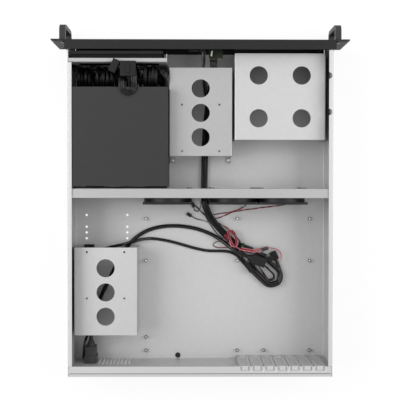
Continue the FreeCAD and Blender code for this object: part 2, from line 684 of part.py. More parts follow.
# ---- Crossbar and fans ---------------------------------------------------------------
def crossbar():
    """The bar across the case, with the fan wall folded down from its front edge."""
    top = LIP_UNDER - BEND
    back = BAR_START + BAR_DEPTH
    wall_left = FAN_CENTRES[0] + FAN_SIZE / 2 + FAN_WALL_MARGIN
    wall_right = FAN_CENTRES[-1] - FAN_SIZE / 2 - FAN_WALL_MARGIN
    line = [(back, top), (BAR_START, top), (BAR_START, FLOOR + SEAT)]
    deep = folded(line, SHEET, "x", -INSIDE, 2 * INSIDE)
    below = (FLOOR, top - BAR_APRON)
    front = (BAR_START, BAR_START + SHEET)
    cuts = [
        box((wall_left, INSIDE), front, below),
        box((-INSIDE, wall_right), front, below),
        box((-CABLE_NOTCH_RIGHT, CABLE_NOTCH_LEFT), front, (FLOOR, FLOOR + CABLE_NOTCH_HEIGHT)),
    ]
    for x in FAN_CENTRES:
        cuts.append(rod(FAN_BORE, V(x, BAR_START, FAN_Z), V(0, SHEET, 0)))
        cuts += fan_screw_holes(x, BAR_START, FAN_Z, SHEET)
    ears = []
    for side in (-1, 1):
        ear_x = sorted((side * INSIDE, side * (INSIDE - SHEET)))
        ears.append(box(ear_x, (BAR_START + SHEET, back), (top - BAR_EAR, top)))
    return join(deep.cut(cuts), *ears)


def fan_corners(x, z=FAN_Z):
    """Screw places of a fan whose centre is given."""
    reach = FAN_SCREW_SPACING / 2
    return [(x + i * reach, z + j * reach) for i in (-1, 1) for j in (-1, 1)]


def fan_screw_holes(x, start, z, length):
    """Cutters of a fan's screw holes."""
    return [
        rod(FAN_SCREW_RADIUS + SHAFT_PLAY, V(sx, start, sz), V(0, length, 0))
        for sx, sz in fan_corners(x, z)
    ]


def fan_frame(x, front, z=FAN_Z):
    """A square fan frame with two flanges, a round duct, four struts and the motor cup."""
    back = front + FAN_DEPTH
    plates = []
    for y in (front, back - FAN_FLANGE):
        plate = box(span(x, FAN_SIZE), (y, y + FAN_FLANGE), span(z, FAN_SIZE))
        corners = [edge for edge in plate.Edges if edge.Length < FAN_FLANGE + TINY]
        plates.append(plate.makeFillet(FAN_CORNER, corners))
    duct = rod(FAN_SIZE / 2 - SLIP, V(x, front, z), V(0, FAN_DEPTH, 0))
    shape = join(*plates, duct).cut(rod(FAN_BORE, V(x, front, z), V(0, FAN_DEPTH, 0)))
    reach = (x + HUB_RADIUS - HUB_WALL, x + FAN_BORE + SLIP)
    strut = box(reach, (back - FAN_STRUT_DEPTH, back), span(z, FAN_STRUT))
    struts = [turned(strut, V(x, back, z), V(0, 1, 0), 45 + 90 * n) for n in range(4)]
    cup = rod(HUB_RADIUS, V(x, back - CUP_DEPTH, z), V(0, CUP_DEPTH, 0))
    mouth = V(x, back - BEARING_LENGTH, z)
    bearing = rod(SHAFT_RADIUS * 2, mouth, V(0, BEARING_LENGTH, 0))
    bore = rod(SHAFT_RADIUS + SHAFT_PLAY, mouth, V(0, BEARING_LENGTH - SHEET, 0))
    return join(shape, *struts, cup, bearing).cut([bore, *fan_screw_holes(x, front, z, FAN_DEPTH)])


def blade(x, y, z, depth):
    """One twisted blade from the hub to just inside the duct."""
    sections = []
    for radius, pitch in zip((HUB_RADIUS - HUB_WALL / 2, FAN_BORE - BLADE_GAP), BLADE_PITCHES):
        lean = math.radians(pitch)
        half = depth / 2 / math.sin(lean)
        way = V(math.cos(lean), math.sin(lean), 0) * half
        side = V(-math.sin(lean), math.cos(lean), 0) * (BLADE_THICKNESS / 2)
        centre = V(x, y, z + radius)
        corners = [centre + way + side, centre - way + side, centre - way - side, centre + way - side]
        sections.append(Part.makePolygon([*corners, corners[0]]))
    return Part.makeLoft(sections, True, True)


def fan_rotor(x, front, z=FAN_Z):
    """Hub, blades and shaft of a fan."""
    start = front + ROTOR_INSET
    run = V(0, HUB_LENGTH, 0)
    hub = rod(HUB_RADIUS, V(x, start, z), run)
    recess = rod(HUB_RADIUS - HUB_WALL, V(x, start + HUB_FACE, z), V(0, HUB_LENGTH - HUB_FACE, 0))
    rim = [edge for edge in hub.Edges if edge.CenterOfMass.y < start + TINY and len(edge.Vertexes) == 1]
    hub = hub.makeFillet(HUB_EDGE, rim).cut(recess)
    shaft_end = front + FAN_DEPTH - SHEET - 2 * SEAT
    shaft = rod(SHAFT_RADIUS, V(x, start + HUB_WALL, z), V(0, shaft_end - start - HUB_WALL, 0))
    middle = V(x, start + HUB_LENGTH / 2, z)
    one = blade(x, middle.y, z, HUB_LENGTH - HUB_WALL)
    tip = rod(FAN_BORE - BLADE_GAP, V(x, start, z), run)
    core = rod(HUB_RADIUS - HUB_WALL / 2, V(x, start, z), run)
    one = one.common(tip).cut(core)
    blades = [turned(one, middle, V(0, 1, 0), 360.0 / BLADES * n) for n in range(BLADES)]
    return join(hub, shaft, *blades)


def fan_screws():
    """Four screws for each fan, from the fan wall's front."""
    return group(
        [
            screw(V(sx, BAR_START, sz), V(0, 1, 0), *FAN_SCREW)
            for x in FAN_CENTRES
            for sx, sz in fan_corners(x)
        ]
    )


# ---- Power supply --------------------------------------------------------------------
def psu_holes():
    """X, Z and radius of the round holes in the power supply's rear face, in rings round its fan's axis."""
    centre = (PSU_FAN_X, PSU_MIDDLE)
    holes = [(centre[0], centre[1])]
    ring = 1
    while ring * PSU_VENT_PITCH < FAN_BORE - PSU_VENT_RADIUS:
        for n in range(6 * ring):
            angle = 2 * math.pi * n / (6 * ring)
            reach = ring * PSU_VENT_PITCH
            holes.append((centre[0] + reach * math.cos(angle), centre[1] + reach * math.sin(angle)))
        ring += 1
    return holes


def psu_base():
    """Bottom, front and rear faces of the power supply's case."""
    edge = PSU_TOP - PSU_SHEET - BEND
    line = [(PSU_START, edge), (PSU_START, FLOOR), (PSU_END, FLOOR), (PSU_END, edge)]
    width = PSU_WIDTH - 2 * PSU_SHEET
    shape = folded(line, PSU_SHEET, "x", PSU_INNER + PSU_SHEET, width)
    rear = V(0, -PSU_SHEET, 0)
    cuts = [rod(PSU_VENT_RADIUS, V(x, PSU_END, z), rear) for x, z in psu_holes()]
    x = PSU_OUTER - PSU_SOCKET_X
    depth = (PSU_END - PSU_SHEET, PSU_END)
    cuts.append(box(span(x, INLET_HEIGHT), depth, span(FLOOR + PSU_SOCKET_Z, INLET_WIDTH)))
    cuts.append(box(span(x, PSU_SWITCH_WIDTH), depth, span(FLOOR + PSU_SWITCH_Z, PSU_SWITCH_HEIGHT)))
    cuts += [rod(PSU_LEAD_HOLE_RADIUS, V(hx, PSU_START, hz), V(0, PSU_SHEET, 0)) for hx, hz in SUPPLY_EXITS]
    return shape.cut(cuts)


def psu_cover():
    """Top and sides of the power supply's case."""
    line = [(PSU_OUTER, FLOOR), (PSU_OUTER, PSU_TOP), (PSU_INNER, PSU_TOP), (PSU_INNER, FLOOR)]
    return folded(line, PSU_SHEET, "y", PSU_START, PSU_LENGTH)


def mains_pins(depth):
    """Three flat pins of a mains inlet that stands upright at the origin."""
    thick, wide = INLET_PIN
    return [
        box(span(offset, thick), depth, span(INLET_PIN_PITCH * n, wide))
        for n, offset in ((-1, -INLET_PIN_OFFSET), (0, INLET_PIN_OFFSET), (1, -INLET_PIN_OFFSET))
    ]


def inlet_shell(face, flange, rim):
    """A mains inlet, upright at X = Z = 0, in a wall whose outer face is given."""
    inner = face - INLET_DEPTH
    mouth = face + flange
    plate = box(span(0, INLET_WIDTH + rim), (face, mouth), span(0, INLET_HEIGHT + rim))
    body = box(span(0, INLET_WIDTH - SLIP), (inner, face), span(0, INLET_HEIGHT - SLIP))
    wall = 2 * INLET_WALL
    well = box(span(0, INLET_WIDTH - wall), (inner + INLET_WALL, mouth), span(0, INLET_HEIGHT - wall))
    return join(join(plate, body).cut(well), *mains_pins((inner + INLET_WALL / 2, face - PSU_SHEET)))


def psu_socket():
    """Mains socket in the power supply's rear face, lying on its side."""
    shell = turned(inlet_shell(PSU_END, PSU_FLANGE, INLET_RIM), V(), V(0, 1, 0), 90)
    return moved(shell, V(PSU_OUTER - PSU_SOCKET_X, 0, FLOOR + PSU_SOCKET_Z))


def rocker_axis():
    """Middle of the rocker's pivot pin."""
    return V(PSU_OUTER - PSU_SOCKET_X, PSU_END - ROCKER_DEPTH, FLOOR + PSU_SWITCH_Z)


def psu_switch():
    """Frame of the power supply's rocker switch."""
    x, y, z = rocker_axis()
    width, height, wall = PSU_SWITCH_WIDTH, PSU_SWITCH_HEIGHT, PSU_SWITCH_WALL
    back = PSU_END - PSU_SWITCH_DEPTH
    mouth = PSU_END + PSU_FLANGE
    rim = box(span(x, width + wall), (PSU_END, mouth), span(z, height + wall))
    body = box(span(x, width - SLIP), (back, PSU_END), span(z, height - SLIP))
    well = box(span(x, width - 2 * wall), (back + wall, mouth), span(z, height - 2 * wall + SEAT))
    pin = width - wall
    pivot = rod(ROCKER_PIN_RADIUS + SHAFT_PLAY, V(x - pin / 2, y, z), V(pin, 0, 0))
    return join(rim, body).cut([well, pivot])


def psu_rocker():
    """The rocker on its pivot pin, resting on its off side."""
    x, y, z = rocker_axis()
    width = PSU_SWITCH_WIDTH - 2 * PSU_SWITCH_WALL - 4 * SLIP
    left = x - width / 2
    half = ROCKER_HEIGHT / 2
    outline = [
        V(left, y - ROCKER_DEPTH, z - half * 0.4),
        V(left, y + ROCKER_PROUD, z - half),
        V(left, y + ROCKER_PROUD - ROCKER_DIP, z),
        V(left, y + ROCKER_PROUD, z + half),
        V(left, y - ROCKER_DEPTH, z + half * 0.4),
    ]
    body = Part.Face(Part.makePolygon([*outline, outline[0]])).extrude(V(width, 0, 0))
    pin = PSU_SWITCH_WIDTH - PSU_SWITCH_WALL - 2 * SLIP
    shape = join(body, rod(ROCKER_PIN_RADIUS, V(x - pin / 2, y, z), V(pin, 0, 0)))
    return turned(shape, rocker_axis(), V(1, 0, 0), -ROCKER_REST)


# ---- Leads ---------------------------------------------------------------------------
def supply_route(radius):
    """Route of a supply lead: from its connector, round on the power supply's top, down to its exit."""
    x, y = SUPPLY_TURN
    lie = PSU_TOP + SUPPLY_LEAD / 2 + SEAT
    rise = radius / math.sqrt(3)
    near = x - radius
    far = x + radius
    return [
        (near, BOARD_CONNECTOR_BACK, SUPPLY_START_Z),
        (near, BOARD_CONNECTOR_BACK + SUPPLY_START_RUN, SUPPLY_START_Z),
        (near, y + rise, lie),
        (x, y + 2 * rise, lie),
        (far, y + rise, lie),
        *[(far + beyond, fall_y, fall_z) for beyond, fall_y, fall_z in SUPPLY_FALL],
        (far, PSU_START, SUPPLY_EXIT_Z),
    ]


def lead(name, route, diameter):
    """A plain tube along straight runs joined by tangent arcs as large as the runs allow."""
    points = [V(*point) for point in route]
    radii = []
    for before, corner, after in zip(points, points[1:], points[2:]):
        turn = (corner - before).getAngle(after - corner)
        shorter = min((corner - before).Length, (after - corner).Length)
        radii.append(ARC_SHARE * shorter / math.tan(turn / 2))
    path = Part.Wire(softened(points, radii))
    ring = Part.Wire([Part.Circle(points[0], points[1] - points[0], diameter / 2).toShape()])
    tube = path.makePipeShell([ring], True, False)
    if tube.Volume < 0:
        tube.reverse()
    share = tube.Volume / (math.pi * diameter**2 / 4 * path.Length)
    tightest = min(radii) / diameter
    print("%s: %.0f mm, tightest %.1f diameters, volume share %.4f" % (name, path.Length, tightest, share))
    save(name, tube)


def drive_coil():
    """Outer shape of the drive lead's coil."""
    x, y = COIL_CENTRE
    rings = []
    for radius in (COIL_OUTER, COIL_INNER):
        ends = [rod(radius, V(side * COIL_STRAIGHT / 2, 0, 0), V(0, 0, COIL_HEIGHT)) for side in (-1, 1)]
        rings.append(join(box(span(0, COIL_STRAIGHT), (-radius, radius), (0, COIL_HEIGHT)), *ends))
    shape = turned(rings[0].cut(rings[1]), V(0, 0, 0), V(0, 0, 1), COIL_TURN)
    return moved(shape, V(x, y, FLOOR + SLIP))


# ---- Connectors on the leads ---------------------------------------------------------
def at_end(shape, route, back=0.0):
    """A shape made along +X from the origin, put at a route's end or that far back along its last run."""
    last = V(*route[-1])
    run = last - V(*route[-2])
    degrees = math.degrees(math.atan2(run.y, run.x))
    placed = turned(shape, V(0, 0, 0), V(0, 0, 1), degrees)
    return moved(placed, last - run.normalize() * back)


def mains_plug():
    """The mains lead's free socket, lying on the coil."""
    body = box((PLUG_BODY_START, PLUG_BODY_END), span(0, PLUG_BODY_WIDTH), span(0, PLUG_BODY_HEIGHT))
    body = body.makeFillet(PLUG_BODY_CORNER, long_edges(body, PLUG_BODY_START))
    wide = PLUG_BODY_HEIGHT / 2 - PLUG_NECK_WALL
    narrow = MAINS_LEAD / 2 + PLUG_NECK_WALL
    neck = Part.makeCone(narrow, wide, PLUG_BODY_START + PLUG_NECK_LAP, V(), V(1, 0, 0))
    depth = (PLUG_BODY_END - PLUG_WELL_DEPTH, PLUG_BODY_END)
    wells = [
        box(depth, span(PLUG_WELL[1] * n, PLUG_WELL[0]), span(offset, PLUG_WELL[1]))
        for n, offset in ((-1, -PLUG_WELL_OFFSET), (0, PLUG_WELL_OFFSET), (1, -PLUG_WELL_OFFSET))
    ]
    return at_end(join(body, neck).cut(wells), MAINS_ROUTE)


def loom_connector():
    """Flat header connector at the front loom's end."""
    centre = LOOM_ROUTE[-1][2]
    height = (FLOOR + SLIP - centre, LOOM_END_TOP - centre)
    body = box((0, LOOM_END_LENGTH), span(0, LOOM_END_WIDTH), height)
    depth = (LOOM_END_LENGTH / 2, LOOM_END_LENGTH)
    wells = [
        box(depth, span(LOOM_END_PITCH * column, LOOM_END_WELL), span(LOOM_END_PITCH * row, LOOM_END_WELL))
        for column in (-1.5, -0.5, 0.5, 1.5)
        for row in (-1, 1)
    ]
    return at_end(body.cut(wells), LOOM_ROUTE)


def cable_tie():
    """Strap round the front loom just before its connector, with its head."""
    run = V(TIE_WIDTH, 0, 0)
    inner = FRONT_LOOM / 2 + SLIP
    ring = rod(inner + TIE_SHEET, V(), run).cut(rod(inner, V(), run))
    length, width, height = TIE_HEAD
    head = box(span(TIE_WIDTH / 2, length), span(0, width), (inner + SLIP, inner + height))
    return at_end(join(ring, head), LOOM_ROUTE, back=TIE_BACK)


def drive_plug():
    """Small keyed plug at the drive lead's free end, lying beside the coil."""
    width, length, height = DRIVE_PLUG_SIZE
    well_width, well_length, well_height = DRIVE_PLUG_WELL
    base, tip, reach = DRIVE_PLUG_NECK
    body = box(span(0, width), (-length, 0), (0, height))
    neck = Part.makeCone(base, tip, reach, V(0, 0, height / 2), V(0, 1, 0))
    well = box(span(0, well_width), (-length, -length + well_length), span(height / 2, well_height))
    shape = turned(join(body, neck).cut(well), V(), V(0, 0, 1), DRIVE_PLUG_TURN)
    return moved(shape, V(*DRIVE_PLUG_PLACE, FLOOR + SLIP))


def drive_socket():
    """Four-way power connector inside the rear cage, at the drive lead's start."""
    x, y, z = DRIVE_ROUTE[0]
    end = x + POWER_LENGTH
    body = box((x, end), span(y, POWER_WIDTH), (FLOOR, FLOOR + POWER_THICKNESS))
    middle = FLOOR + POWER_THICKNESS / 2
    wells = [
        rod(POWER_PIN_RADIUS, V(end, y + POWER_PIN_PITCH * n, middle), V(-POWER_LENGTH / 2, 0, 0))
        for n in POWER_PINS
    ]
    return body.makeFillet(POWER_CORNER, long_edges(body, POWER_LENGTH - POWER_CORNER)).cut(wells)


def spare_connector():
    """Drive connector hanging on the spare supply lead, standing on the floor."""
    x, y, z = SPARE_ROUTE[-1]
    body = box(span(x, POWER_WIDTH), span(y, POWER_THICKNESS), (FLOOR, z))
    wells = [
        rod(POWER_PIN_RADIUS, V(x + POWER_PIN_PITCH * n, y, FLOOR), V(0, 0, POWER_LENGTH / 2))
        for n in POWER_PINS
    ]
    return body.cut(wells)


def board_connector():
    """Wide supply connector, laid across the front wall's top lip."""
    z = CONNECTOR_LIE
    top = z + CONNECTOR_THICKNESS
    front = BOARD_CONNECTOR_BACK - BOARD_CONNECTOR_LENGTH
    body = box(BOARD_CONNECTOR_X, (front, BOARD_CONNECTOR_BACK), (z, top))
    middle = (sum(BOARD_CONNECTOR_X) / 2, z + CONNECTOR_THICKNESS / 2)
    wells = contact_wells(middle, BOARD_CONNECTOR_WAYS, (front, front + BOARD_CONNECTOR_LENGTH * 2 / 3))
    width, length, height = LATCH
    latch_y = front + BOARD_CONNECTOR_LENGTH / 2
    latch = box(span(middle[0], width), span(latch_y, length), (top, top + height))
    return join(body, latch).cut(wells)


def side_connector():
    """Small supply connector, lying askew on the front wall's top lip."""
    z = CONNECTOR_LIE
    half = SIDE_CONNECTOR_LENGTH / 2
    body = box(span(0, SIDE_CONNECTOR_WIDTH), (-half, half), (z, z + CONNECTOR_THICKNESS))
    wells = contact_wells((0, z + CONNECTOR_THICKNESS / 2), 2, (-half, half / 3))
    shape = turned(body.cut(wells), V(), V(0, 0, 1), SIDE_CONNECTOR_TURN)
    return moved(shape, V(*SIDE_CONNECTOR_PLACE, 0))


def contact_wells(middle, ways, depth):
    """Square wells of a connector in two rows."""
    return [
        box(
            span(middle[0] + CONNECTOR_PITCH * (n - (ways - 1) / 2), CONNECTOR_WELL),
            depth,
            span(middle[1] + CONNECTOR_PITCH * (row - 0.5), CONNECTOR_WELL),
        )
        for n in range(ways)
        for row in range(2)
    ]


# ---- Rear ----------------------------------------------------------------------------
def rear_panel():
    """Rear wall beside the card slots, with the board's opening, the vent and the mains inlet's opening."""
    left = INSIDE - BEND
    line = [(REAR_WALL, FLOOR), (REAR_WALL, LIP_UNDER), (RAIL_START + SLIP, LIP_UNDER)]
    body = folded(line, SHEET, "x", SLOT_WALL_END + SHEET, left - SLOT_WALL_END - SHEET)
    depth = (REAR_WALL - SHEET, REAR_WALL + SHEET)
    cuts = [box(span(IO_CENTRE_X, IO_WIDTH), depth, (IO_BOTTOM, IO_BOTTOM + IO_HEIGHT))]
    cuts.append(box(span(INLET_X, INLET_WIDTH), depth, span(INLET_Z, INLET_HEIGHT)))
    for column in range(VENT_COLUMNS):
        for row in range(VENT_ROWS):
            x = VENT_CENTRE_X + (column - (VENT_COLUMNS - 1) / 2) * VENT_PITCH
            z = VENT_BOTTOM + (row + 0.5 * (column % 2)) * VENT_PITCH
            cuts.append(rod(VENT_HOLE_RADIUS, V(x, depth[0], z), V(0, 2 * SHEET, 0)))
    return body.cut(cuts)


def slot_places():
    """Centres of the card slots."""
    return [FIRST_SLOT_X + SLOT_PITCH * n for n in range(SLOT_COUNT)]


def slot_panel():
    """Rear wall at the card slots, standing forward of the other, with an outward top lip."""
    right = -INSIDE + BEND
    line = [(SLOT_WALL, FLOOR), (SLOT_WALL, LIP_UNDER), (RAIL_START + RAIL_WEB, LIP_UNDER)]
    body = folded(line[::-1], SHEET, "x", right, SLOT_WALL_END - right)
    edge = (SLOT_WALL_END - SHEET, SLOT_WALL_END)
    cheek = box(edge, (SLOT_WALL + SHEET, REAR_WALL + SHEET), (FLOOR, LIP_UNDER - SHEET))
    depth = (SLOT_WALL, SLOT_WALL + SHEET)
    tall = (SLOT_OPENING_BOTTOM, SLOT_OPENING_TOP)
    cuts = [box(span(x, SLOT_OPENING), depth, tall) for x in slot_places()]
    cuts += rail_holes()
    return join(body, cheek).cut(cuts)


def rail_holes():
    """Screw holes beside the card slots, through the rail and the lip under it."""
    down = V(0, 0, -2 * SHEET)
    places = [x - SLOT_PITCH / 2 for x in slot_places()]
    return [rod(RAIL_HOLE_RADIUS, V(x, RAIL_HOLE_Y, BODY_HEIGHT), down) for x in places]


def slot_cover(x):
    """Blanking cover of one card slot: a ribbed plate with a narrow tongue below and a tab above."""
    top = LIP_UNDER + COVER_SHEET
    front = SLOT_WALL - COVER_SHEET
    line = [(front, FLOOR + SEAT), (front, top), (front + COVER_TAB + COVER_SHEET, top)]
    plate = folded(line[::-1], COVER_SHEET, "x", x - COVER_WIDTH / 2, COVER_WIDTH, bend=COVER_BEND)
    edges = (x - COVER_WIDTH / 2, x + COVER_WIDTH / 2)
    cuts = []
    for width, depth, tall in (
        (COVER_TONGUE, (front, SLOT_WALL), (FLOOR, FLOOR + COVER_TONGUE_HEIGHT)),
        (COVER_TAB_WIDTH, (front, SLOT_WALL + COVER_TAB), (LIP_UNDER, top)),
    ):
        side = (COVER_WIDTH - width) / 2
        cuts += [box((edge, edge + side), depth, tall) for edge in (edges[0], edges[1] - side)]
    width, depth = COVER_RIB
    tall = (SLOT_OPENING_BOTTOM + SLIP, SLOT_OPENING_TOP - SLIP)
    rib = box(span(x, width), (front, SLOT_WALL + depth), tall)
    inner = (tall[0] + COVER_SHEET, tall[1] - COVER_SHEET)
    cuts.append(box(span(x, width - 2 * COVER_SHEET), (front, SLOT_WALL + depth - COVER_SHEET), inner))
    return join(plate, rib).cut(cuts)


def rear_rail():
    """Rail along the top of the rear, with fingers between the covers' tabs and a lower outer ledge."""
    reach = INSIDE - RAIL_SEAT_GAP
    step = RAIL_START + RAIL_WEB
    web = box((-reach, reach), (RAIL_START, step), (LIP_UNDER, BODY_HEIGHT))
    ledge = box((-reach, reach), (step - SHEET, BODY_END), (LIP_UNDER - SHEET, LIP_UNDER))
    tab = (SLOT_WALL - SEAT, SLOT_WALL + COVER_TAB + SEAT)
    width = COVER_TAB_WIDTH + 2 * RAIL_NOTCH_GAP
    cuts = [box(span(x, width), tab, (LIP_UNDER, BODY_HEIGHT)) for x in slot_places()]
    cuts += rail_holes()
    under = (LIP_UNDER - SHEET, LIP_UNDER)
    cuts.append(box((-reach, SLOT_WALL_END + SEAT), (step - SHEET, step + SLIP), under))
    return join(web, ledge).cut(cuts)


def io_plate():
    """Thin pressed plate closing the board's opening."""
    reach = IO_WIDTH / 2 + IO_PLATE_OVERLAP
    z = (IO_BOTTOM - IO_PLATE_OVERLAP + SLIP, IO_BOTTOM + IO_HEIGHT + IO_PLATE_OVERLAP)
    rim = box(span(IO_CENTRE_X, 2 * reach), (REAR_WALL - SHEET - IO_PLATE_SHEET, REAR_WALL - SHEET), z)
    inner = box(
        span(IO_CENTRE_X, IO_WIDTH - 2 * IO_PLATE_PLAY),
        (REAR_WALL - SHEET, REAR_WALL),
        (IO_BOTTOM + IO_PLATE_PLAY, IO_BOTTOM + IO_HEIGHT - IO_PLATE_PLAY),
    )
    return join(rim, inner)


def mains_inlet():
    """Mains inlet in the rear wall, with its moulded boot and the spout that the inner lead leaves."""
    place = V(INLET_X, 0, INLET_Z)
    shell = moved(inlet_shell(REAR_WALL, INLET_FLANGE, 2 * INLET_RIM), place)
    back = REAR_WALL - INLET_DEPTH
    width = INLET_WIDTH - BOOT_NARROWING
    height = INLET_HEIGHT - BOOT_NARROWING
    boot = box(span(INLET_X, width), (back - BOOT_LENGTH, back), span(INLET_Z, height))
    tip = MAINS_LEAD / 2 + SPOUT_WALL
    face = back - BOOT_LENGTH
    reach = face - MAINS_ROUTE[0][1]
    spout = Part.makeCone(SPOUT_RADIUS, tip, reach, place + V(0, face, 0), V(0, -1, 0))
    return join(shell, boot, spout)


# ---- Floor ---------------------------------------------------------------------------
def standoff_places():
    """Centres of the board standoffs."""
    return [(x, y) for x in BOARD_PLACES_X for y in BOARD_PLACES_Y] + list(EXTRA_STANDOFFS)


def standoff(x, y):
    """A hexagonal threaded standoff."""
    radius = STANDOFF_ACROSS / math.sqrt(3)
    corner = V(x + radius, y, FLOOR)
    corners = [turned(Part.Vertex(corner), V(x, y, FLOOR), V(0, 0, 1), 60 * n).Point for n in range(6)]
    prism = Part.Face(Part.makePolygon([*corners, corners[0]])).extrude(V(0, 0, STANDOFF_HEIGHT))
    return prism.cut(rod(STANDOFF_BORE, V(x, y, FLOOR), V(0, 0, STANDOFF_HEIGHT)))


def floor_plug():
    """Rubber plug in the floor."""
    head = rod(PLUG_RADIUS, V(PLUG_X, PLUG_Y, FLOOR), V(0, 0, PLUG_HEAD))
    rim = [e for e in head.Edges if e.CenterOfMass.z > FLOOR + PLUG_HEAD - TINY]
    neck = rod(PLUG_NECK_RADIUS, V(PLUG_X, PLUG_Y, SLIP), V(0, 0, FLOOR))
    return join(head.makeFillet(PLUG_HEAD / 2, rim), neck)


# ---- Front panel ---------------------------------------------------------------------
def bay_range():
    """X and Z ranges of the wide bay's opening in the panel."""
    return span(WIDE_CAGE_X, BAY_WIDTH + 2 * BAY_PLAY), (BAY_TOP - BAY_HEIGHT - 2 * BAY_PLAY, BAY_TOP)


def handle_screw_places():
    """X and Z of the handles' screws."""
    reach = HANDLE_SPAN / 2 - HANDLE_BAR / 2
    return [(side * HANDLE_X, HANDLE_MIDDLE + end * reach) for side in (-1, 1) for end in (-1, 1)]


def front_panel():
    """The black panel with its ears, its top and bottom edges folded back and the two side tabs."""
    plate = box(span(0, PANEL_WIDTH), (0, PANEL_SHEET), (0, PANEL_HEIGHT))
    lip = [(PANEL_SHEET + PANEL_LIP, PANEL_HEIGHT), (0, PANEL_HEIGHT), (0, PANEL_HEIGHT / 2)]
    top = folded(lip, PANEL_SHEET, "x", -PANEL_LIP_WIDTH / 2, PANEL_LIP_WIDTH, bend=PANEL_BEND)
    bottom = box(span(0, 2 * (INSIDE - SEAT)), (0, PANEL_SHEET + PANEL_FOOT), (0, FLOOR))
    tabs = []
    for side in (-1, 1):
        x = sorted((side * (HALF + SLIP), side * (HALF + SLIP + PANEL_SHEET)))
        tabs.append(box(x, (0, PANEL_SHEET + PANEL_LIP), (2 * PANEL_SHEET, PANEL_HEIGHT - 2 * PANEL_SHEET)))
    through = (0, PANEL_SHEET)
    shape = join(plate, bottom, *tabs)
    bend_room = box(span(0, PANEL_LIP_WIDTH), through, (PANEL_HEIGHT / 2, PANEL_HEIGHT))
    shape = join(shape.cut(bend_room), top)
    bay_x, bay_z = bay_range()
    cuts = [box(bay_x, through, bay_z)]
    for x, z in handle_screw_places():
        cuts.append(rod(HANDLE_SCREW_RADIUS + SHAFT_PLAY, V(x, 0, z), V(0, PANEL_SHEET, 0)))
    for x in span(0, RACK_SLOT_SPACING_X):
        for z in span(HANDLE_MIDDLE, RACK_SLOT_SPACING_Z):
            cuts.append(slot_hole(x, through, z, RACK_SLOT_LENGTH, RACK_SLOT_WIDTH))
    middle_x = (FRONT_WALL_END + INSIDE) / 2
    for column in range(INTAKE_COLUMNS):
        for row in range(INTAKE_ROWS):
            x = middle_x + (column - (INTAKE_COLUMNS - 1) / 2) * INTAKE_PITCH_X
            z = HANDLE_MIDDLE + (row - (INTAKE_ROWS - 1) / 2) * INTAKE_PITCH_Z
            cuts.append(slot_hole(x, through, z, INTAKE_SLOT_LENGTH, INTAKE_SLOT_WIDTH))
    for x, radius in BUTTONS:
        cuts.append(rod(radius + BUTTON_PLAY, V(x, 0, BUTTON_Z), V(0, PANEL_SHEET, 0)))
    for x in SOCKET_COLUMNS:
        tall = span(socket_z(), SOCKET_HEIGHT + 2 * SLIP)
        cuts.append(box(span(x, SOCKET_WIDTH + 2 * SLIP), through, tall))
    return shape.cut(cuts)


def socket_z():
    """Height of the data sockets' centres: under the board that carries them."""
    return BUTTON_Z - SOCKET_HEIGHT / 2


def handle(side):
    """A square-shouldered bar handle with a threaded hole in each leg."""
    x = span(side * HANDLE_X, HANDLE_WIDTH)
    z = span(HANDLE_MIDDLE, HANDLE_SPAN)
    block = box(x, (-HANDLE_REACH, 0), z)
    front = [edge for edge in long_edges(block, 1) if edge.CenterOfMass.y < -1]
    block = block.makeFillet(HANDLE_CORNER, front)
    gap = box(x, (-HANDLE_REACH + HANDLE_BAR, 0), (z[0] + HANDLE_BAR, z[1] - HANDLE_BAR))
    inner = [edge for edge in long_edges(gap, 1) if edge.CenterOfMass.y < -1]
    shape = block.cut(gap.makeFillet(HANDLE_CORNER - HANDLE_BAR, inner))
    holes = [
        rod(HANDLE_SCREW_RADIUS + SHAFT_PLAY, V(sx, 0, sz), V(0, -HANDLE_HOLE_DEPTH, 0))
        for sx, sz in handle_screw_places()
        if sx * side > 0
    ]
    return shape.cut(holes)


def handle_screws():
    """The handles' screws, from behind the ears."""
    forward = V(0, -1, 0)
    return group([screw(V(x, PANEL_SHEET, z), forward, *HANDLE_SCREW) for x, z in handle_screw_places()])


def bay_cover():
    """Plastic cover of the wide bay, hollow from behind."""
    bay_x, bay_z = bay_range()
    x = (bay_x[0] + BAY_PLAY, bay_x[1] - BAY_PLAY)
    z = (bay_z[0] + BAY_PLAY, bay_z[1] - BAY_PLAY)
    body = box(x, (0, BAY_COVER_DEPTH), z)
    hollow = box(
        (x[0] + BAY_COVER_WALL, x[1] - BAY_COVER_WALL),
        (BAY_COVER_WALL, BAY_COVER_DEPTH),
        (z[0] + BAY_COVER_WALL, z[1] - BAY_COVER_WALL),
    )
    front = [e for e in body.Edges if e.CenterOfMass.y < TINY]
    return body.makeFillet(BAY_COVER_EDGE, front).cut(hollow)


def button(x, radius):
    """A push button with a collar behind the panel and a stem into its switch."""
    cap = rod(radius, V(x, -BUTTON_PROUD, BUTTON_Z), V(0, BUTTON_PROUD + PANEL_SHEET + SEAT, 0))
    front = [e for e in cap.Edges if e.CenterOfMass.y < -BUTTON_PROUD + TINY]
    collar = rod(radius + BUTTON_FLANGE, V(x, PANEL_SHEET + SEAT, BUTTON_Z), V(0, BUTTON_COLLAR, 0))
    stem = rod(STEM_RADIUS, V(x, PANEL_SHEET, BUTTON_Z), V(0, STEM_LENGTH, 0))
    return join(cap.makeFillet(BUTTON_FLANGE / 2, front), collar, stem)


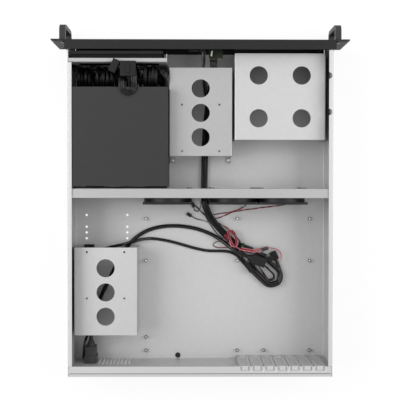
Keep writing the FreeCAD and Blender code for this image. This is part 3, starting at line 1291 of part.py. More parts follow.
def switches():
    """The two push switches behind their buttons, each with a skirt seated on the panel's back."""
    solids = []
    room = SEAT + BUTTON_COLLAR + BUTTON_TRAVEL + SEAT
    for x, radius in BUTTONS:
        inner = radius + BUTTON_FLANGE + BUTTON_PLAY
        width = span(x, 2 * (inner + SWITCH_WALL))
        body = box(width, (PANEL_SHEET, PANEL_SHEET + room + SWITCH_DEPTH), span(BUTTON_Z, SWITCH_HEIGHT))
        well = rod(inner, V(x, PANEL_SHEET, BUTTON_Z), V(0, room, 0))
        bore_length = STEM_LENGTH + BUTTON_TRAVEL + SEAT
        bore = rod(STEM_RADIUS + SHAFT_PLAY, V(x, PANEL_SHEET, BUTTON_Z), V(0, bore_length, 0))
        solids.append(body.cut([well, bore]))
    return group(solids)


def data_sockets():
    """Two upright data sockets in the panel, under their board."""
    solids = []
    for x in SOCKET_COLUMNS:
        outer = box(span(x, SOCKET_WIDTH), (0, SOCKET_DEPTH), span(socket_z(), SOCKET_HEIGHT))
        inner = box(
            span(x, SOCKET_WIDTH - 2 * SOCKET_SHELL),
            (0, SOCKET_DEPTH - SOCKET_BACK),
            span(socket_z(), SOCKET_HEIGHT - 2 * SOCKET_SHELL),
        )
        tongue = box(
            (x + SOCKET_SHELL / 2, x + SOCKET_TONGUE),
            (SOCKET_SHELL, SOCKET_DEPTH - SOCKET_BACK / 2),
            span(socket_z(), SOCKET_HEIGHT - 5 * SOCKET_SHELL),
        )
        solids.append(join(outer.cut(inner), tongue))
    return group(solids)


def io_board():
    """Small circuit board on the data sockets, with a pin header and the loom's socket."""
    base = BUTTON_Z
    left = max(SOCKET_COLUMNS) + SOCKET_WIDTH / 2 + IO_BOARD_MARGIN
    right = min(SOCKET_COLUMNS) - SOCKET_WIDTH / 2 - IO_BOARD_MARGIN
    board = box((right, left), (PANEL_SHEET + SEAT, IO_BOARD_DEPTH), (base, base + IO_BOARD_SHEET))
    top = base + IO_BOARD_SHEET
    width, depth, height = IO_HEADER_SIZE
    header = box(span(IO_HEADER_PLACE[0], width), span(IO_HEADER_PLACE[1], depth), (top, top + height))
    x, y, z = LOOM_ROUTE[0]
    socket = box(span(x, IO_SOCKET_WIDTH), (SOCKET_DEPTH + 2 * SOCKET_BACK, y), (z - IO_SOCKET_DROP, base))
    return join(board, header, socket)


# ---- Write every node ----------------------------------------------------------------
os.makedirs("parts", exist_ok=True)

save("tray", tray())
save("front_wall", front_wall())
save("filter_frame", filter_frame())
save("front_drive_cage", narrow_cage(FRONT_CAGE_X, FRONT_CAGE_START, True, FRONT_DRIVE_PLACE))
save("rear_drive_cage", narrow_cage(REAR_CAGE_X, REAR_CAGE_START, False, REAR_DRIVE_PLACE))
save("wide_drive_cage", wide_cage())
save("cage_screws", foot_screws())

save("crossbar", crossbar())
for number, centre in enumerate(FAN_CENTRES, 1):
    save("fan_frame_%d" % number, fan_frame(centre, FAN_FACE))
    save("fan_rotor_%d" % number, fan_rotor(centre, FAN_FACE))
save("fan_screws", fan_screws())

save("psu_base", psu_base())
save("psu_cover", psu_cover())
save("psu_socket", psu_socket())
save("psu_switch", psu_switch())
save("psu_rocker", psu_rocker())
psu_fan = (PSU_FAN_X, PSU_FAN_END - FAN_DEPTH, PSU_MIDDLE)
save("psu_fan_frame", fan_frame(*psu_fan))
save("psu_fan_rotor", fan_rotor(*psu_fan))

save("rear_panel", rear_panel())
save("slot_panel", slot_panel())
save("slot_covers", group([slot_cover(x) for x in slot_places()]))
save("rear_rail", rear_rail())
save("io_plate", io_plate())
save("mains_inlet", mains_inlet())
save("standoffs", group([standoff(x, y) for x, y in standoff_places()]))
save("floor_plug", floor_plug())

save("front_panel", front_panel())
save("handle_left", handle(1))
save("handle_right", handle(-1))
save("handle_screws", handle_screws())
save("bay_cover", bay_cover())
for name, place in zip(("power_button", "reset_button"), BUTTONS):
    save(name, button(*place))
save("switches", switches())
save("data_sockets", data_sockets())
save("io_board", io_board())

lead("mains_lead", MAINS_ROUTE, MAINS_LEAD)
lead("drive_lead", DRIVE_ROUTE, DRIVE_LEAD)
lead("front_loom", LOOM_ROUTE, FRONT_LOOM)
for number, route in enumerate(FAN_ROUTES, 1):
    lead("fan_lead_%d" % number, route, FAN_LEAD)
lead("switch_lead", SWITCH_ROUTE, SWITCH_LEAD)
for number, radius in enumerate(SUPPLY_TURN_RADII, 1):
    lead("supply_lead_%d" % number, supply_route(radius), SUPPLY_LEAD)
lead("spare_lead", SPARE_ROUTE, SPARE_LEAD)
save("drive_coil", drive_coil())
save("mains_plug", mains_plug())
save("drive_plug", drive_plug())
save("drive_socket", drive_socket())
save("loom_connector", loom_connector())
save("board_connector", board_connector())
save("side_connector", side_connector())
save("spare_connector", spare_connector())
save("cable_tie", cable_tie())
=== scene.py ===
# %% [markdown]
# # Rackmount server case with its lid off
# The imported model gives every solid its place, in metres: +Z is up, +Y runs from the front panel to
# the rear, and +X is the side with the power supply. This file gives each solid its finish and adds
# what a solid can't show well: the leads as real cords, the housings on their free ends and a foam
# mat. It also adds two dark strips as painted shade: a foam strip in the gap behind the power supply
# and a thin bar along the rear rail. Nothing that the frame holds is moved.

# %% Load the frame
import json
import math
import bmesh
import bpy
from mathutils import Matrix, Vector


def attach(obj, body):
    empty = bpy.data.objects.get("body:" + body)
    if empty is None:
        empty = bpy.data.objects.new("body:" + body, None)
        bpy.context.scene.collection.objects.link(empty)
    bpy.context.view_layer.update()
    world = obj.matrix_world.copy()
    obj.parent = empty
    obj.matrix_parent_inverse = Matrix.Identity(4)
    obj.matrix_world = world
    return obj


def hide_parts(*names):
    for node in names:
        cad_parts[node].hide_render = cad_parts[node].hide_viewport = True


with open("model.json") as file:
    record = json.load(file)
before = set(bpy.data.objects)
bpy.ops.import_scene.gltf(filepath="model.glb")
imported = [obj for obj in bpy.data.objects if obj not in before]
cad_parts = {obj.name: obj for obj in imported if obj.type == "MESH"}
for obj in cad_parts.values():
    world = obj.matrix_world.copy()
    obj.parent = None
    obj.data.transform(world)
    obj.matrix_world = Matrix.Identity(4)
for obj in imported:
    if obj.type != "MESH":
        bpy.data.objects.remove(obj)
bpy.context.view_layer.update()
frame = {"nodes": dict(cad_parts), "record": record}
nodes = frame["nodes"]
print("nodes in the frame:", len(nodes))

# %% [markdown]
# ## Camera
# The case is seen from straight above with a fairly long lens, so the walls show only as thin
# strips. The top of the render is the front of the case. A camera looks along its own -Z, so almost
# no tilt is needed, only half a turn about Z.

# %% Place the camera
CAMERA_PLACE = (0.01138, 0.23764, 1.37296)
CAMERA_TURN = (-0.968, -0.476, -179.947)
CAMERA_LENS = 71.58

camera_data = bpy.data.cameras.new("camera")
camera_data.lens = CAMERA_LENS
camera = bpy.data.objects.new("camera", camera_data)
camera.location = CAMERA_PLACE
camera.rotation_euler = [math.radians(angle) for angle in CAMERA_TURN]
bpy.context.scene.collection.objects.link(camera)
bpy.context.scene.camera = camera
bpy.context.scene.view_settings.view_transform = "Standard"
print("camera height:", CAMERA_PLACE[2], "m")

# %% [markdown]
# ## How a finish is written
# Every finish of the case is a Principled shader. Its colour and roughness, and mostly its relief
# too, come from noise on Object coordinates, which are metres here: a noise scale of 1000 has
# grains about a millimetre across. One helper makes the noise, one spreads it over a range, one
# turns it into a colour and one into relief, and one links colour and roughness to the shader.

# %% Helpers for finishes
def new_finish(name, metallic=0.0, coat=0.0, shine=0.5):
    """A material with its shader, and the coordinates that its patterns read."""
    finish = bpy.data.materials.new(name)
    finish.use_nodes = True
    tree = finish.node_tree
    shader = tree.nodes["Principled BSDF"]
    shader.inputs["Metallic"].default_value = metallic
    shader.inputs["Coat Weight"].default_value = coat
    shader.inputs["Specular IOR Level"].default_value = shine
    place = tree.nodes.new("ShaderNodeTexCoord").outputs["Object"]
    return finish, tree, shader, place


def noise(tree, place, scale, detail=4.0, stretch=(1, 1, 1)):
    """Noise between 0 and 1 with grains of about 1 / scale metres, stretched along the axes."""
    mapping = tree.nodes.new("ShaderNodeMapping")
    mapping.inputs["Scale"].default_value = stretch
    texture = tree.nodes.new("ShaderNodeTexNoise")
    texture.inputs["Scale"].default_value = scale
    texture.inputs["Detail"].default_value = detail
    tree.links.new(place, mapping.inputs["Vector"])
    tree.links.new(mapping.outputs["Vector"], texture.inputs["Vector"])
    return texture.outputs["Fac"]


def spread(tree, value, low, high, start=0.3, end=0.7):
    """A value carried from start..end to low..high."""
    ranged = tree.nodes.new("ShaderNodeMapRange")
    ranged.inputs["From Min"].default_value = start
    ranged.inputs["From Max"].default_value = end
    ranged.inputs["To Min"].default_value = low
    ranged.inputs["To Max"].default_value = high
    tree.links.new(value, ranged.inputs["Value"])
    return ranged.outputs["Result"]


def tint(tree, value, dark, light):
    """A colour between two colours."""
    mix = tree.nodes.new("ShaderNodeMix")
    mix.data_type = "RGBA"
    mix.inputs["A"].default_value = (*dark, 1)
    mix.inputs["B"].default_value = (*light, 1)
    tree.links.new(value, mix.inputs["Factor"])
    return mix.outputs["Result"]


def relief(tree, shader, value, strength, height):
    """Bump whose full height is given in metres."""
    bump = tree.nodes.new("ShaderNodeBump")
    bump.inputs["Strength"].default_value = strength
    bump.inputs["Distance"].default_value = height
    tree.links.new(value, bump.inputs["Height"])
    tree.links.new(bump.outputs["Normal"], shader.inputs["Normal"])


def connect(tree, shader, colour, roughness):
    """Link a finish's colour and roughness to its shader."""
    tree.links.new(colour, shader.inputs["Base Color"])
    tree.links.new(roughness, shader.inputs["Roughness"])


def times(colour, factor):
    """A colour made darker or lighter."""
    return tuple(channel * factor for channel in colour)


# %% [markdown]
# ## Sheath of the leads
# A cable's sheath is soft plastic. Its colour varies very little, its surface is slightly
# orange-peeled, and it is smooth enough that the soft lamps draw a pale line along each cable.
# That line is what tells the cables of a bundle apart, so the roughness is low and a thin coat lies
# over it. One function makes it for any colour. Nylon, foam and the dark bar of painted shade along
# the rear rail use it too, with more roughness and less coat.

# %% Finish: cable sheath
def sheath(name, colour, roughness=0.3, coat=0.5):
    """Soft plastic over a wire or a cable."""
    finish, tree, shader, place = new_finish(name, coat=coat, shine=0.2)
    shader.inputs["Coat Roughness"].default_value = 0.22
    mottle = noise(tree, place, 160.0)
    peel = noise(tree, place, 1500.0, detail=2.0)
    base = tint(tree, mottle, times(colour, 0.75), times(colour, 1.25))
    rough = spread(tree, peel, roughness - 0.06, roughness + 0.08)
    connect(tree, shader, base, rough)
    relief(tree, shader, peel, 0.4, 0.00004)
    return finish


BLACK_SHEATH = sheath("black_sheath", (0.004, 0.0035, 0.0038), 0.18, 0.2)
LOOM_SHEATH = sheath("loom_sheath", (0.004, 0.0055, 0.0048), 0.24, 0.15)
BLACK_WIRE = sheath("black_wire", (0.004, 0.004, 0.0044), 0.2, 0.2)
FOLDED_WIRE = sheath("folded_wire", (0.003, 0.003, 0.0033), 0.42, 0.15)
PLUM_WIRE = sheath("plum_wire", (0.060, 0.026, 0.034))
DEEP_RED_WIRE = sheath("deep_red_wire", (0.110, 0.008, 0.012))
GREY_WIRE = sheath("grey_wire", (0.20, 0.20, 0.20))
RED_WIRE = sheath("red_wire", (0.42, 0.03, 0.045))
ROSE_WIRE = sheath("rose_wire", (0.58, 0.20, 0.24))
print("finishes so far:", [finish.name for finish in bpy.data.materials])

# %% [markdown]
# ## Cords
# A lead has a fixed length, so it is one smooth curve that starts square to the piece it leaves. A
# NURBS spline of order 3 touches its first and last points and cuts smoothly inside the rest, as a
# springy cable does. The order is set after the points are there, or Blender lowers it to 2.

# %% Helpers for cords
def route_curve(name, route, diameter=0.0):
    """A curve object along a route, round if a diameter is given and a bare line if not."""
    curve = bpy.data.curves.new(name, "CURVE")
    curve.dimensions = "3D"
    curve.resolution_u = 10
    curve.bevel_depth = diameter / 2
    curve.bevel_resolution = 4
    curve.use_fill_caps = True
    spline = curve.splines.new("NURBS")
    spline.points.add(len(route) - 1)
    for point, place in zip(spline.points, route):
        point.co = (*place, 1.0)
    spline.order_u = 3
    spline.use_endpoint_u = True
    cord = bpy.data.objects.new(name, curve)
    bpy.context.scene.collection.objects.link(cord)
    return cord


def spline_line(name, route):
    """Points along the smooth line of a route."""
    bare = route_curve(name + "_line", route)
    graph = bpy.context.evaluated_depsgraph_get()
    mesh = bpy.data.meshes.new_from_object(bare.evaluated_get(graph))
    line = [vertex.co.copy() for vertex in mesh.vertices]
    bpy.data.meshes.remove(mesh)
    bpy.data.objects.remove(bare)
    return line


def line_length(line):
    """Length of a line of points."""
    return sum((b - a).length for a, b in zip(line, line[1:]))


def dress(piece, finish, body="case"):
    """Give a piece its finish and its body."""
    piece.data.materials.append(finish)
    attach(piece, body)
    return piece


def single_lead(name, route, diameter, finish, slot, **facts):
    """A lead with one round sheath."""
    cord = dress(route_curve(name, route, diameter), finish)
    length = line_length(spline_line(name, route))
    print(name, "is", round(length * 1000), "mm long")
    return cord


# %% [markdown]
# A bundle is made of strands that go round the smooth line and wander a little. Each strand is a
# thin poly line with a round bevel, and all of them together are turned into one mesh. The frame of
# the line, which says what is sideways, is carried from point to point so that it doesn't twist.

# %% Helpers for bundles
STRAND_UNIT = 0.001
WANDER_RATE = 41.0
WANDER_STEP = 2.4


def side_frames(line):
    """Two sideways directions at each point of a line, carried along without a twist."""
    frames = []
    side = Vector((0, 0, 1)).cross(line[1] - line[0])
    if side.length < 1e-6:
        side = Vector((1, 0, 0))
    for place in range(len(line)):
        ahead = (line[min(place + 1, len(line) - 1)] - line[max(place - 1, 0)]).normalized()
        side = (side - ahead * side.dot(ahead)).normalized()
        frames.append((side, ahead.cross(side)))
    return frames


def ring(count, distance, radius, first=0.0, choice=0):
    """Wires laid round a circle, each as (sideways, upwards, radius, number of its finish)."""
    angles = [first + math.tau * number / count for number in range(count)]
    return [
        (distance * math.cos(angle), distance * math.sin(angle), radius, choice) for angle in angles
    ]


def strand_lines(line, wires, turn, wander):
    """Lines of the wires, which go round the line by turn radians a metre and wander a little."""
    frames = side_frames(line)
    strands = []
    for number, (sideways, upwards, _, _) in enumerate(wires):
        travelled = 0.0
        points = []
        for place, (side, up) in enumerate(frames):
            if place:
                travelled += (line[place] - line[place - 1]).length
            sway = math.sin(travelled * WANDER_RATE + number * WANDER_STEP)
            angle = travelled * turn + wander * sway
            across = sideways * math.cos(angle) - upwards * math.sin(angle)
            above = sideways * math.sin(angle) + upwards * math.cos(angle)
            points.append(line[place] + side * across + up * above)
        strands.append(points)
    return strands


def strand_mesh(name, strands, wires):
    """One mesh of round wires; each wire's own radius is set on the points of its spline."""
    curve = bpy.data.curves.new(name, "CURVE")
    curve.dimensions = "3D"
    curve.bevel_depth = STRAND_UNIT
    curve.bevel_resolution = 2
    curve.use_fill_caps = True
    for points, (_, _, radius, _) in zip(strands, wires):
        spline = curve.splines.new("POLY")
        spline.points.add(len(points) - 1)
        for point, place in zip(spline.points, points):
            point.co = (*place, 1.0)
            point.radius = radius / STRAND_UNIT
    holder = bpy.data.objects.new(name + "_strands", curve)
    bpy.context.scene.collection.objects.link(holder)
    graph = bpy.context.evaluated_depsgraph_get()
    mesh = bpy.data.meshes.new_from_object(holder.evaluated_get(graph))
    bpy.data.objects.remove(holder)
    mesh.name = name
    mesh.shade_smooth()
    piece = bpy.data.objects.new(name, mesh)
    bpy.context.scene.collection.objects.link(piece)
    return piece


def colour_strands(piece, finishes, wires):
    """Give each wire of a bundle its own finish."""
    for finish in finishes[1:]:
        piece.data.materials.append(finish)
    share = len(piece.data.polygons) // len(wires)
    for face in piece.data.polygons:
        face.material_index = wires[min(face.index // share, len(wires) - 1)][3]


def bundle(name, route, diameter, wires, finishes, slot, turn=20.0, wander=0.25, **facts):
    """A lead made of several wires along the smooth line of a route."""
    line = spline_line(name, route)
    strands = strand_lines(line, wires, turn, wander)
    piece = dress(strand_mesh(name, strands, wires), finishes[0])
    colour_strands(piece, finishes, wires)
    return piece


# %% [markdown]
# ## Housings
# The free ends of the leads are nylon housings. Each is a block with a hollow mouth, a wall round
# it and a latch on one side. The block starts as a cube: its front face is inset and pushed in for
# the mouth, the edges are bevelled, and the latch is a second bevelled cube on top.

# %% Helper for housings
MOUTH_WALL = 0.17
MOUTH_DEPTH = 0.55
EDGE_ROUNDING = 0.07


def add_block(form, size, place, bevel):
    """Add a bevelled block to a form."""
    made = bmesh.ops.create_cube(form, size=1.0)
    verts = made["verts"]
    bmesh.ops.scale(form, vec=size, verts=verts)
    bmesh.ops.translate(form, vec=place, verts=verts)
    edges = list({edge for vert in verts for edge in vert.link_edges})
    bmesh.ops.bevel(
        form, geom=edges, offset=bevel, segments=2, profile=0.5, affect="EDGES", material=-1,
    )


def finished_mesh(name, form, finish, place, body="case"):
    """Turn a form into a piece whose place is in its mesh."""
    bmesh.ops.recalc_face_normals(form, faces=form.faces)
    form.transform(place)
    mesh = bpy.data.meshes.new(name)
    form.to_mesh(mesh)
    form.free()
    piece = bpy.data.objects.new(name, mesh)
    bpy.context.scene.collection.objects.link(piece)
    return dress(piece, finish, body)


def housing(name, size, tip, heading, tilt=0.0, finish=None):
    """A plug housing whose back is at tip and whose mouth points along heading."""
    width, length, height = size
    form = bmesh.new()
    made = bmesh.ops.create_cube(form, size=1.0)
    bmesh.ops.scale(form, vec=size, verts=made["verts"])
    bmesh.ops.translate(form, vec=(0, length / 2, 0), verts=made["verts"])
    mouth = max(form.faces, key=lambda face: face.calc_center_median().y)
    bmesh.ops.inset_region(form, faces=[mouth], thickness=min(width, height) * MOUTH_WALL)
    outline = [edge for edge in form.edges if edge not in set(mouth.edges)]
    bmesh.ops.translate(form, vec=(0, -length * MOUTH_DEPTH, 0), verts=mouth.verts)
    bmesh.ops.bevel(
        form, geom=outline, offset=min(width, height) * EDGE_ROUNDING, segments=2, profile=0.5,
        affect="EDGES", material=-1,
    )
    add_block(
        form, (width * 0.34, length * 0.62, height * 0.16), (0, length * 0.5, height * 0.56),
        height * 0.05,
    )
    place = (
        Matrix.Translation(tip) @ Matrix.Rotation(heading, 4, "Z")
        @ Matrix.Rotation(tilt, 4, "X")
    )
    piece = finished_mesh(name, form, finish or HOUSING_NYLON, place)
    print(name, "is", [round(edge * 1000, 1) for edge in size], "mm")
    return piece


HOUSING_NYLON = sheath("housing_nylon", (0.006, 0.006, 0.0065), 0.42, 0.0)

# %% [markdown]
# ## Mains lead
# It leaves the inlet's spout at the rear, drops under the rear drive cage, comes out at the cage's
# front and sweeps across the floor, and its free socket lies on the coil of the drive lead.

# %% Mains lead
MAINS_DIAMETER = 0.0065
MAINS_ROUTE = [
    (0.1845, 0.497, 0.028), (0.1845, 0.485, 0.028), (0.1838, 0.471, 0.0224),
    (0.1812, 0.455, 0.0128), (0.1754, 0.438, 0.006), (0.166, 0.417, 0.0046), (0.154, 0.393, 0.0046),
    (0.143, 0.37, 0.0046), (0.131, 0.348, 0.0046), (0.117, 0.3305, 0.0046), (0.1, 0.3175, 0.0046),
    (0.081, 0.3095, 0.0046), (0.061, 0.3056, 0.0046), (0.04, 0.305, 0.0046),
    (0.019, 0.3072, 0.0046), (-0.001, 0.312, 0.0046), (-0.019, 0.319, 0.0055),
    (-0.036, 0.329, 0.01), (-0.051, 0.341, 0.017), (-0.066, 0.351, 0.022), (-0.082, 0.357, 0.022),
]
mains_cord = single_lead(
    "mains_cord", MAINS_ROUTE, MAINS_DIAMETER, BLACK_SHEATH, "cable_black",
    far_end="plug", stiffness="medium", lay="loose", with_pieces=[nodes["mains_plug"]],
)
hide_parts("mains_lead")

# %% [markdown]
# ## Drive lead and its coil
# The drive lead comes out of the four-way socket in the rear cage, climbs over the mains lead, and
# its spare length lies in an oval coil of three and a half turns, two layers deep. The
# turns belong to the same spline, so the coil is cord all the way and not a shape that looks like
# one. Each turn is a stadium: two half circles joined by straights, worked out by a loop.

# %% Drive lead
DRIVE_DIAMETER = 0.005
DRIVE_ROUTE = [
    (0.182, 0.3476, 0.0055), (0.1725, 0.3476, 0.0055), (0.161, 0.3436, 0.0044),
    (0.149, 0.3404, 0.0066), (0.136, 0.3376, 0.0126), (0.123, 0.3342, 0.0165),
    (0.11, 0.3304, 0.0165), (0.097, 0.3274, 0.011), (0.083, 0.3268, 0.0046), (0.066, 0.329, 0.004),
    (0.046, 0.3332, 0.004), (0.026, 0.339, 0.004), (0.006, 0.3446, 0.004), (-0.014, 0.3486, 0.004),
    (-0.034, 0.3484, 0.004), (-0.052, 0.3496, 0.004), (-0.0665, 0.3576, 0.004),
    (-0.0765, 0.3715, 0.004),
]
COIL_TURNS = (
    (0.0193, 0.0040), (0.0140, 0.0042), (0.0141, 0.0090), (0.0190, 0.0092), (0.0160, 0.0096),
)
COIL_STEPS = 14
COIL_PHASE = 0.16
COIL_UNEVEN = 0.0007


def coil_points(centre, turned, straight, turns, count, tilt=0.0):
    """Points of a lying coil; each turn goes from one (radius, height) to the next."""
    points = []
    for step in range(count):
        turn, part = divmod(step, COIL_STEPS)
        share = part / COIL_STEPS
        radius, height = turns[turn]
        next_radius, next_height = turns[turn + 1]
        angle = math.tau * share - math.pi / 2 + COIL_PHASE
        uneven = COIL_UNEVEN * math.sin(5 * angle + 90 * radius)
        reach = radius + (next_radius - radius) * share + uneven
        side = straight / 2 if math.cos(angle) > 0 else -straight / 2
        along = side + reach * math.cos(angle)
        point = Vector((along, reach * math.sin(angle), 0)) @ Matrix.Rotation(-turned, 3, "Z")
        rise = height + (next_height - height) * share + along * tilt
        points.append(tuple(Vector(centre) + point + Vector((0, 0, rise))))
    return points


DRIVE_COIL = coil_points((-0.112, 0.3806, 0), math.radians(138), 0.030, COIL_TURNS, 48)
DRIVE_END = [
    (-0.1372, 0.3790, 0.0088), (-0.1349, 0.3722, 0.0068), (-0.1325, 0.3660, 0.0056),
    (-0.1309, 0.3628, 0.0054),
]
drive_plug = housing(
    "drive_plug_shell", (0.0112, 0.0150, 0.0070), (-0.1311, 0.3632, 0.0050), math.radians(206),
)
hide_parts("drive_plug")
drive_cord = single_lead(
    "drive_cord", DRIVE_ROUTE + DRIVE_COIL + DRIVE_END, DRIVE_DIAMETER, BLACK_SHEATH, "cable_black",
    far_end="plug", stiffness="medium", lay="coiled", with_pieces=[drive_plug],
)
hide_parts("drive_lead", "drive_coil")

# %% [markdown]
# ## Front loom
# The cables of the panel's lights, buttons and sockets run in one loom under the front cage,
# through the gap in the fan wall and on to the coil. It is a loose bundle: three round cables side
# by side, thinner wires on top of them and in the gaps, and almost no twist.

# %% Front loom
LOOM_DIAMETER = 0.0105
LOOM_ROUTE = [
    (-0.022, 0.0295, 0.046), (-0.022, 0.041, 0.046), (-0.0216, 0.052, 0.039),
    (-0.0205, 0.062, 0.027), (-0.0186, 0.0735, 0.0158), (-0.016, 0.089, 0.0092),
    (-0.0134, 0.109, 0.0069), (-0.011, 0.132, 0.0069), (-0.0092, 0.158, 0.0069),
    (-0.008, 0.186, 0.0069), (-0.0074, 0.214, 0.0069), (-0.0072, 0.241, 0.0069),
    (-0.0075, 0.263, 0.0069), (-0.0125, 0.282, 0.0069), (-0.023, 0.2985, 0.0069),
    (-0.036, 0.3135, 0.0069), (-0.05, 0.3276, 0.0072), (-0.0635, 0.3375, 0.0084),
    (-0.077, 0.3426, 0.0084),
]
LOOM_WIRES = [
    (-0.0040, -0.0010, 0.0019, 0), (0.0002, -0.0016, 0.0020, 0), (0.0041, -0.0008, 0.0018, 0),
    (-0.0022, 0.0016, 0.0012, 1), (0.0004, 0.0020, 0.0013, 0), (0.0027, 0.0017, 0.0011, 1),
    (-0.0044, 0.0018, 0.0008, 1), (0.0049, 0.0019, 0.0008, 1), (-0.0012, 0.0037, 0.0008, 1),
    (0.0016, 0.0036, 0.0007, 1),
]
loom_cord = bundle(
    "loom_cord", LOOM_ROUTE, LOOM_DIAMETER, LOOM_WIRES, [LOOM_SHEATH, BLACK_SHEATH],
    "cable_black", turn=2.0,
    far_end="connector", stiffness="limp", lay="loose",
    with_pieces=[nodes["loom_connector"], nodes["cable_tie"]],
)
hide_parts("front_loom")

# %% [markdown]
# ## Fan leads and switch lead
# Each fan has a thin lead of two wires, twisted round each other: both black at the first fan, and
# one red and one black at the others. The leads of the third and the second fan run together to the
# loom, and the switch lead is a red and a black wire too.

# %% Fan leads and switch lead
FAN_LEAD_DIAMETER = 0.0022
RED_PAIR = [(-0.00056, 0.0, 0.00054, 0), (0.00056, 0.0, 0.00054, 1)]
FAN_ROUTES = (
    [
        (0.0126, 0.2654, 0.007), (0.0094, 0.269, 0.0042), (0.0048, 0.2738, 0.0025),
        (-0.0008, 0.2796, 0.0025), (-0.0058, 0.2848, 0.0025), (-0.0104, 0.2902, 0.0025),
    ],
    [
        (-0.079, 0.2682, 0.012), (-0.0765, 0.272, 0.007), (-0.07, 0.2756, 0.003),
        (-0.0605, 0.2796, 0.0025), (-0.05, 0.2844, 0.0025), (-0.038, 0.29, 0.0025),
        (-0.027, 0.2926, 0.0027),
    ],
    [
        (-0.146, 0.2682, 0.009), (-0.14, 0.2702, 0.005), (-0.127, 0.2716, 0.0025),
        (-0.107, 0.274, 0.0025), (-0.087, 0.2766, 0.0025), (-0.072, 0.2786, 0.0044),
        (-0.06, 0.2806, 0.0066), (-0.049, 0.2824, 0.0046), (-0.036, 0.284, 0.0025),
        (-0.0234, 0.2862, 0.0027),
    ],
)
SWITCH_ROUTE = [
    (-0.0324, 0.3005, 0.0069), (-0.0376, 0.3034, 0.0076), (-0.0447, 0.3072, 0.0056),
    (-0.0522, 0.3132, 0.0030), (-0.0592, 0.3206, 0.0030), (-0.0652, 0.3268, 0.0040),
    (-0.0696, 0.3326, 0.0074),
]
for number, route in enumerate(FAN_ROUTES, 1):
    first = BLACK_WIRE if number == 1 else RED_WIRE
    cord = bundle(
        "fan_cord_%d" % number, route, FAN_LEAD_DIAMETER, RED_PAIR, [first, BLACK_WIRE],
        "cable_red", turn=240.0, far_end="object", stiffness="limp", lay="loose",
    )
    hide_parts("fan_lead_%d" % number)
switch_cord = bundle(
    "switch_cord", SWITCH_ROUTE, 0.002, RED_PAIR, [RED_WIRE, BLACK_WIRE],
    "cable_red", turn=200.0, far_end="object", stiffness="limp", lay="loose",
)
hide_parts("switch_lead")

# %% [markdown]
# ## Supply leads
# Three bundles leave the front of the power supply, climb to its top, turn round there side by side
# and end in the wide connector that lies across the front wall. The turn is about half a circle
# seen from above, so its points are worked out from the radius, as in the solids.

# %% Supply leads
SUPPLY_DIAMETER = 0.003
SUPPLY_TURN = (0.117, 0.076)
SUPPLY_RADII = (0.007, 0.0101, 0.0132)
SUPPLY_LIE = 0.0878
TURN_CORNER = 0.577
TURN_CROWN = 1.155
FOUR_WIRES = ring(4, 0.00094, 0.00078, first=0.4)


def supply_route(radius):
    """Route of one supply lead, from the power supply's front face to the connector."""
    x, y = SUPPLY_TURN
    near = x - radius
    far = x + radius
    return [
        (far, 0.0767, 0.049), (far, 0.066, 0.0496), (far + 0.0002, 0.057, 0.053),
        (far, 0.051, 0.062), (far + 0.0003, 0.051, 0.074), (far, 0.058, 0.084),
        (far + 0.0004, 0.068, SUPPLY_LIE + 0.0015), (far, y + TURN_CORNER * radius, SUPPLY_LIE),
        (x, y + TURN_CROWN * radius, SUPPLY_LIE), (near, y + TURN_CORNER * radius, SUPPLY_LIE),
        (near, 0.0668, 0.0926), (near, 0.0604, 0.0926),
    ]


for number, radius in enumerate(SUPPLY_RADII, 1):
    cord = bundle(
        "supply_cord_%d" % number, supply_route(radius), SUPPLY_DIAMETER, FOUR_WIRES, [BLACK_WIRE],
        "cable_black", turn=60.0,
        far_end="connector", stiffness="limp", lay="loose", with_pieces=[nodes["board_connector"]],
    )
    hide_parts("supply_lead_%d" % number)

# %% [markdown]
# The spare lead leaves the supply beside these, goes over in a bow and hangs down to a connector of
# its own.

# %% Spare lead
SPARE_ROUTE = [
    (0.062, 0.0767, 0.036), (0.062, 0.0665, 0.0366), (0.0626, 0.057, 0.043), (0.065, 0.053, 0.055),
    (0.071, 0.0524, 0.0665), (0.081, 0.053, 0.0716), (0.091, 0.0538, 0.0665),
    (0.096, 0.0548, 0.054), (0.0972, 0.0556, 0.039), (0.097, 0.056, 0.024), (0.097, 0.056, 0.0136),
]
spare_cord = bundle(
    "spare_cord", SPARE_ROUTE, 0.005, ring(4, 0.0014, 0.0011, first=0.4), [BLACK_WIRE],
    "cable_black", turn=60.0,
    far_end="connector", stiffness="limp", lay="hanging", with_pieces=[nodes["spare_connector"]],
)
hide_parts("spare_lead")

# %% [markdown]
# ## Folded supply leads
# The unused leads of the power supply are folded up between its front face and the front wall. Each
# is one cord: it leaves the supply low down and goes round and round in upright oval turns that
# stand beside each other, and ends in a housing that points up in front of them. Real ones are
# stuffed in by hand, so every turn has a slightly different height and lean.

# %% Folded supply leads
HANK_DIAMETER = 0.0052
HANK_PITCH = 0.0057
HANK_MIDDLE = 0.0572
HANK_RADIUS = 0.0162
HANK_STEPS = 14
HANK_REST = 0.0072
HANK_HOUSING = (0.0104, 0.0200, 0.0066)
HANK_UNEVEN = 0.0035
HANK_LEAN = 0.0011
HANK_SWAY = 0.0008
HANK_OVER_SPARE = 0.0168
SPARE_REACH = (0.083, 0.111)
HANK_WIRES = ring(4, 0.00145, 0.00115, first=0.4)


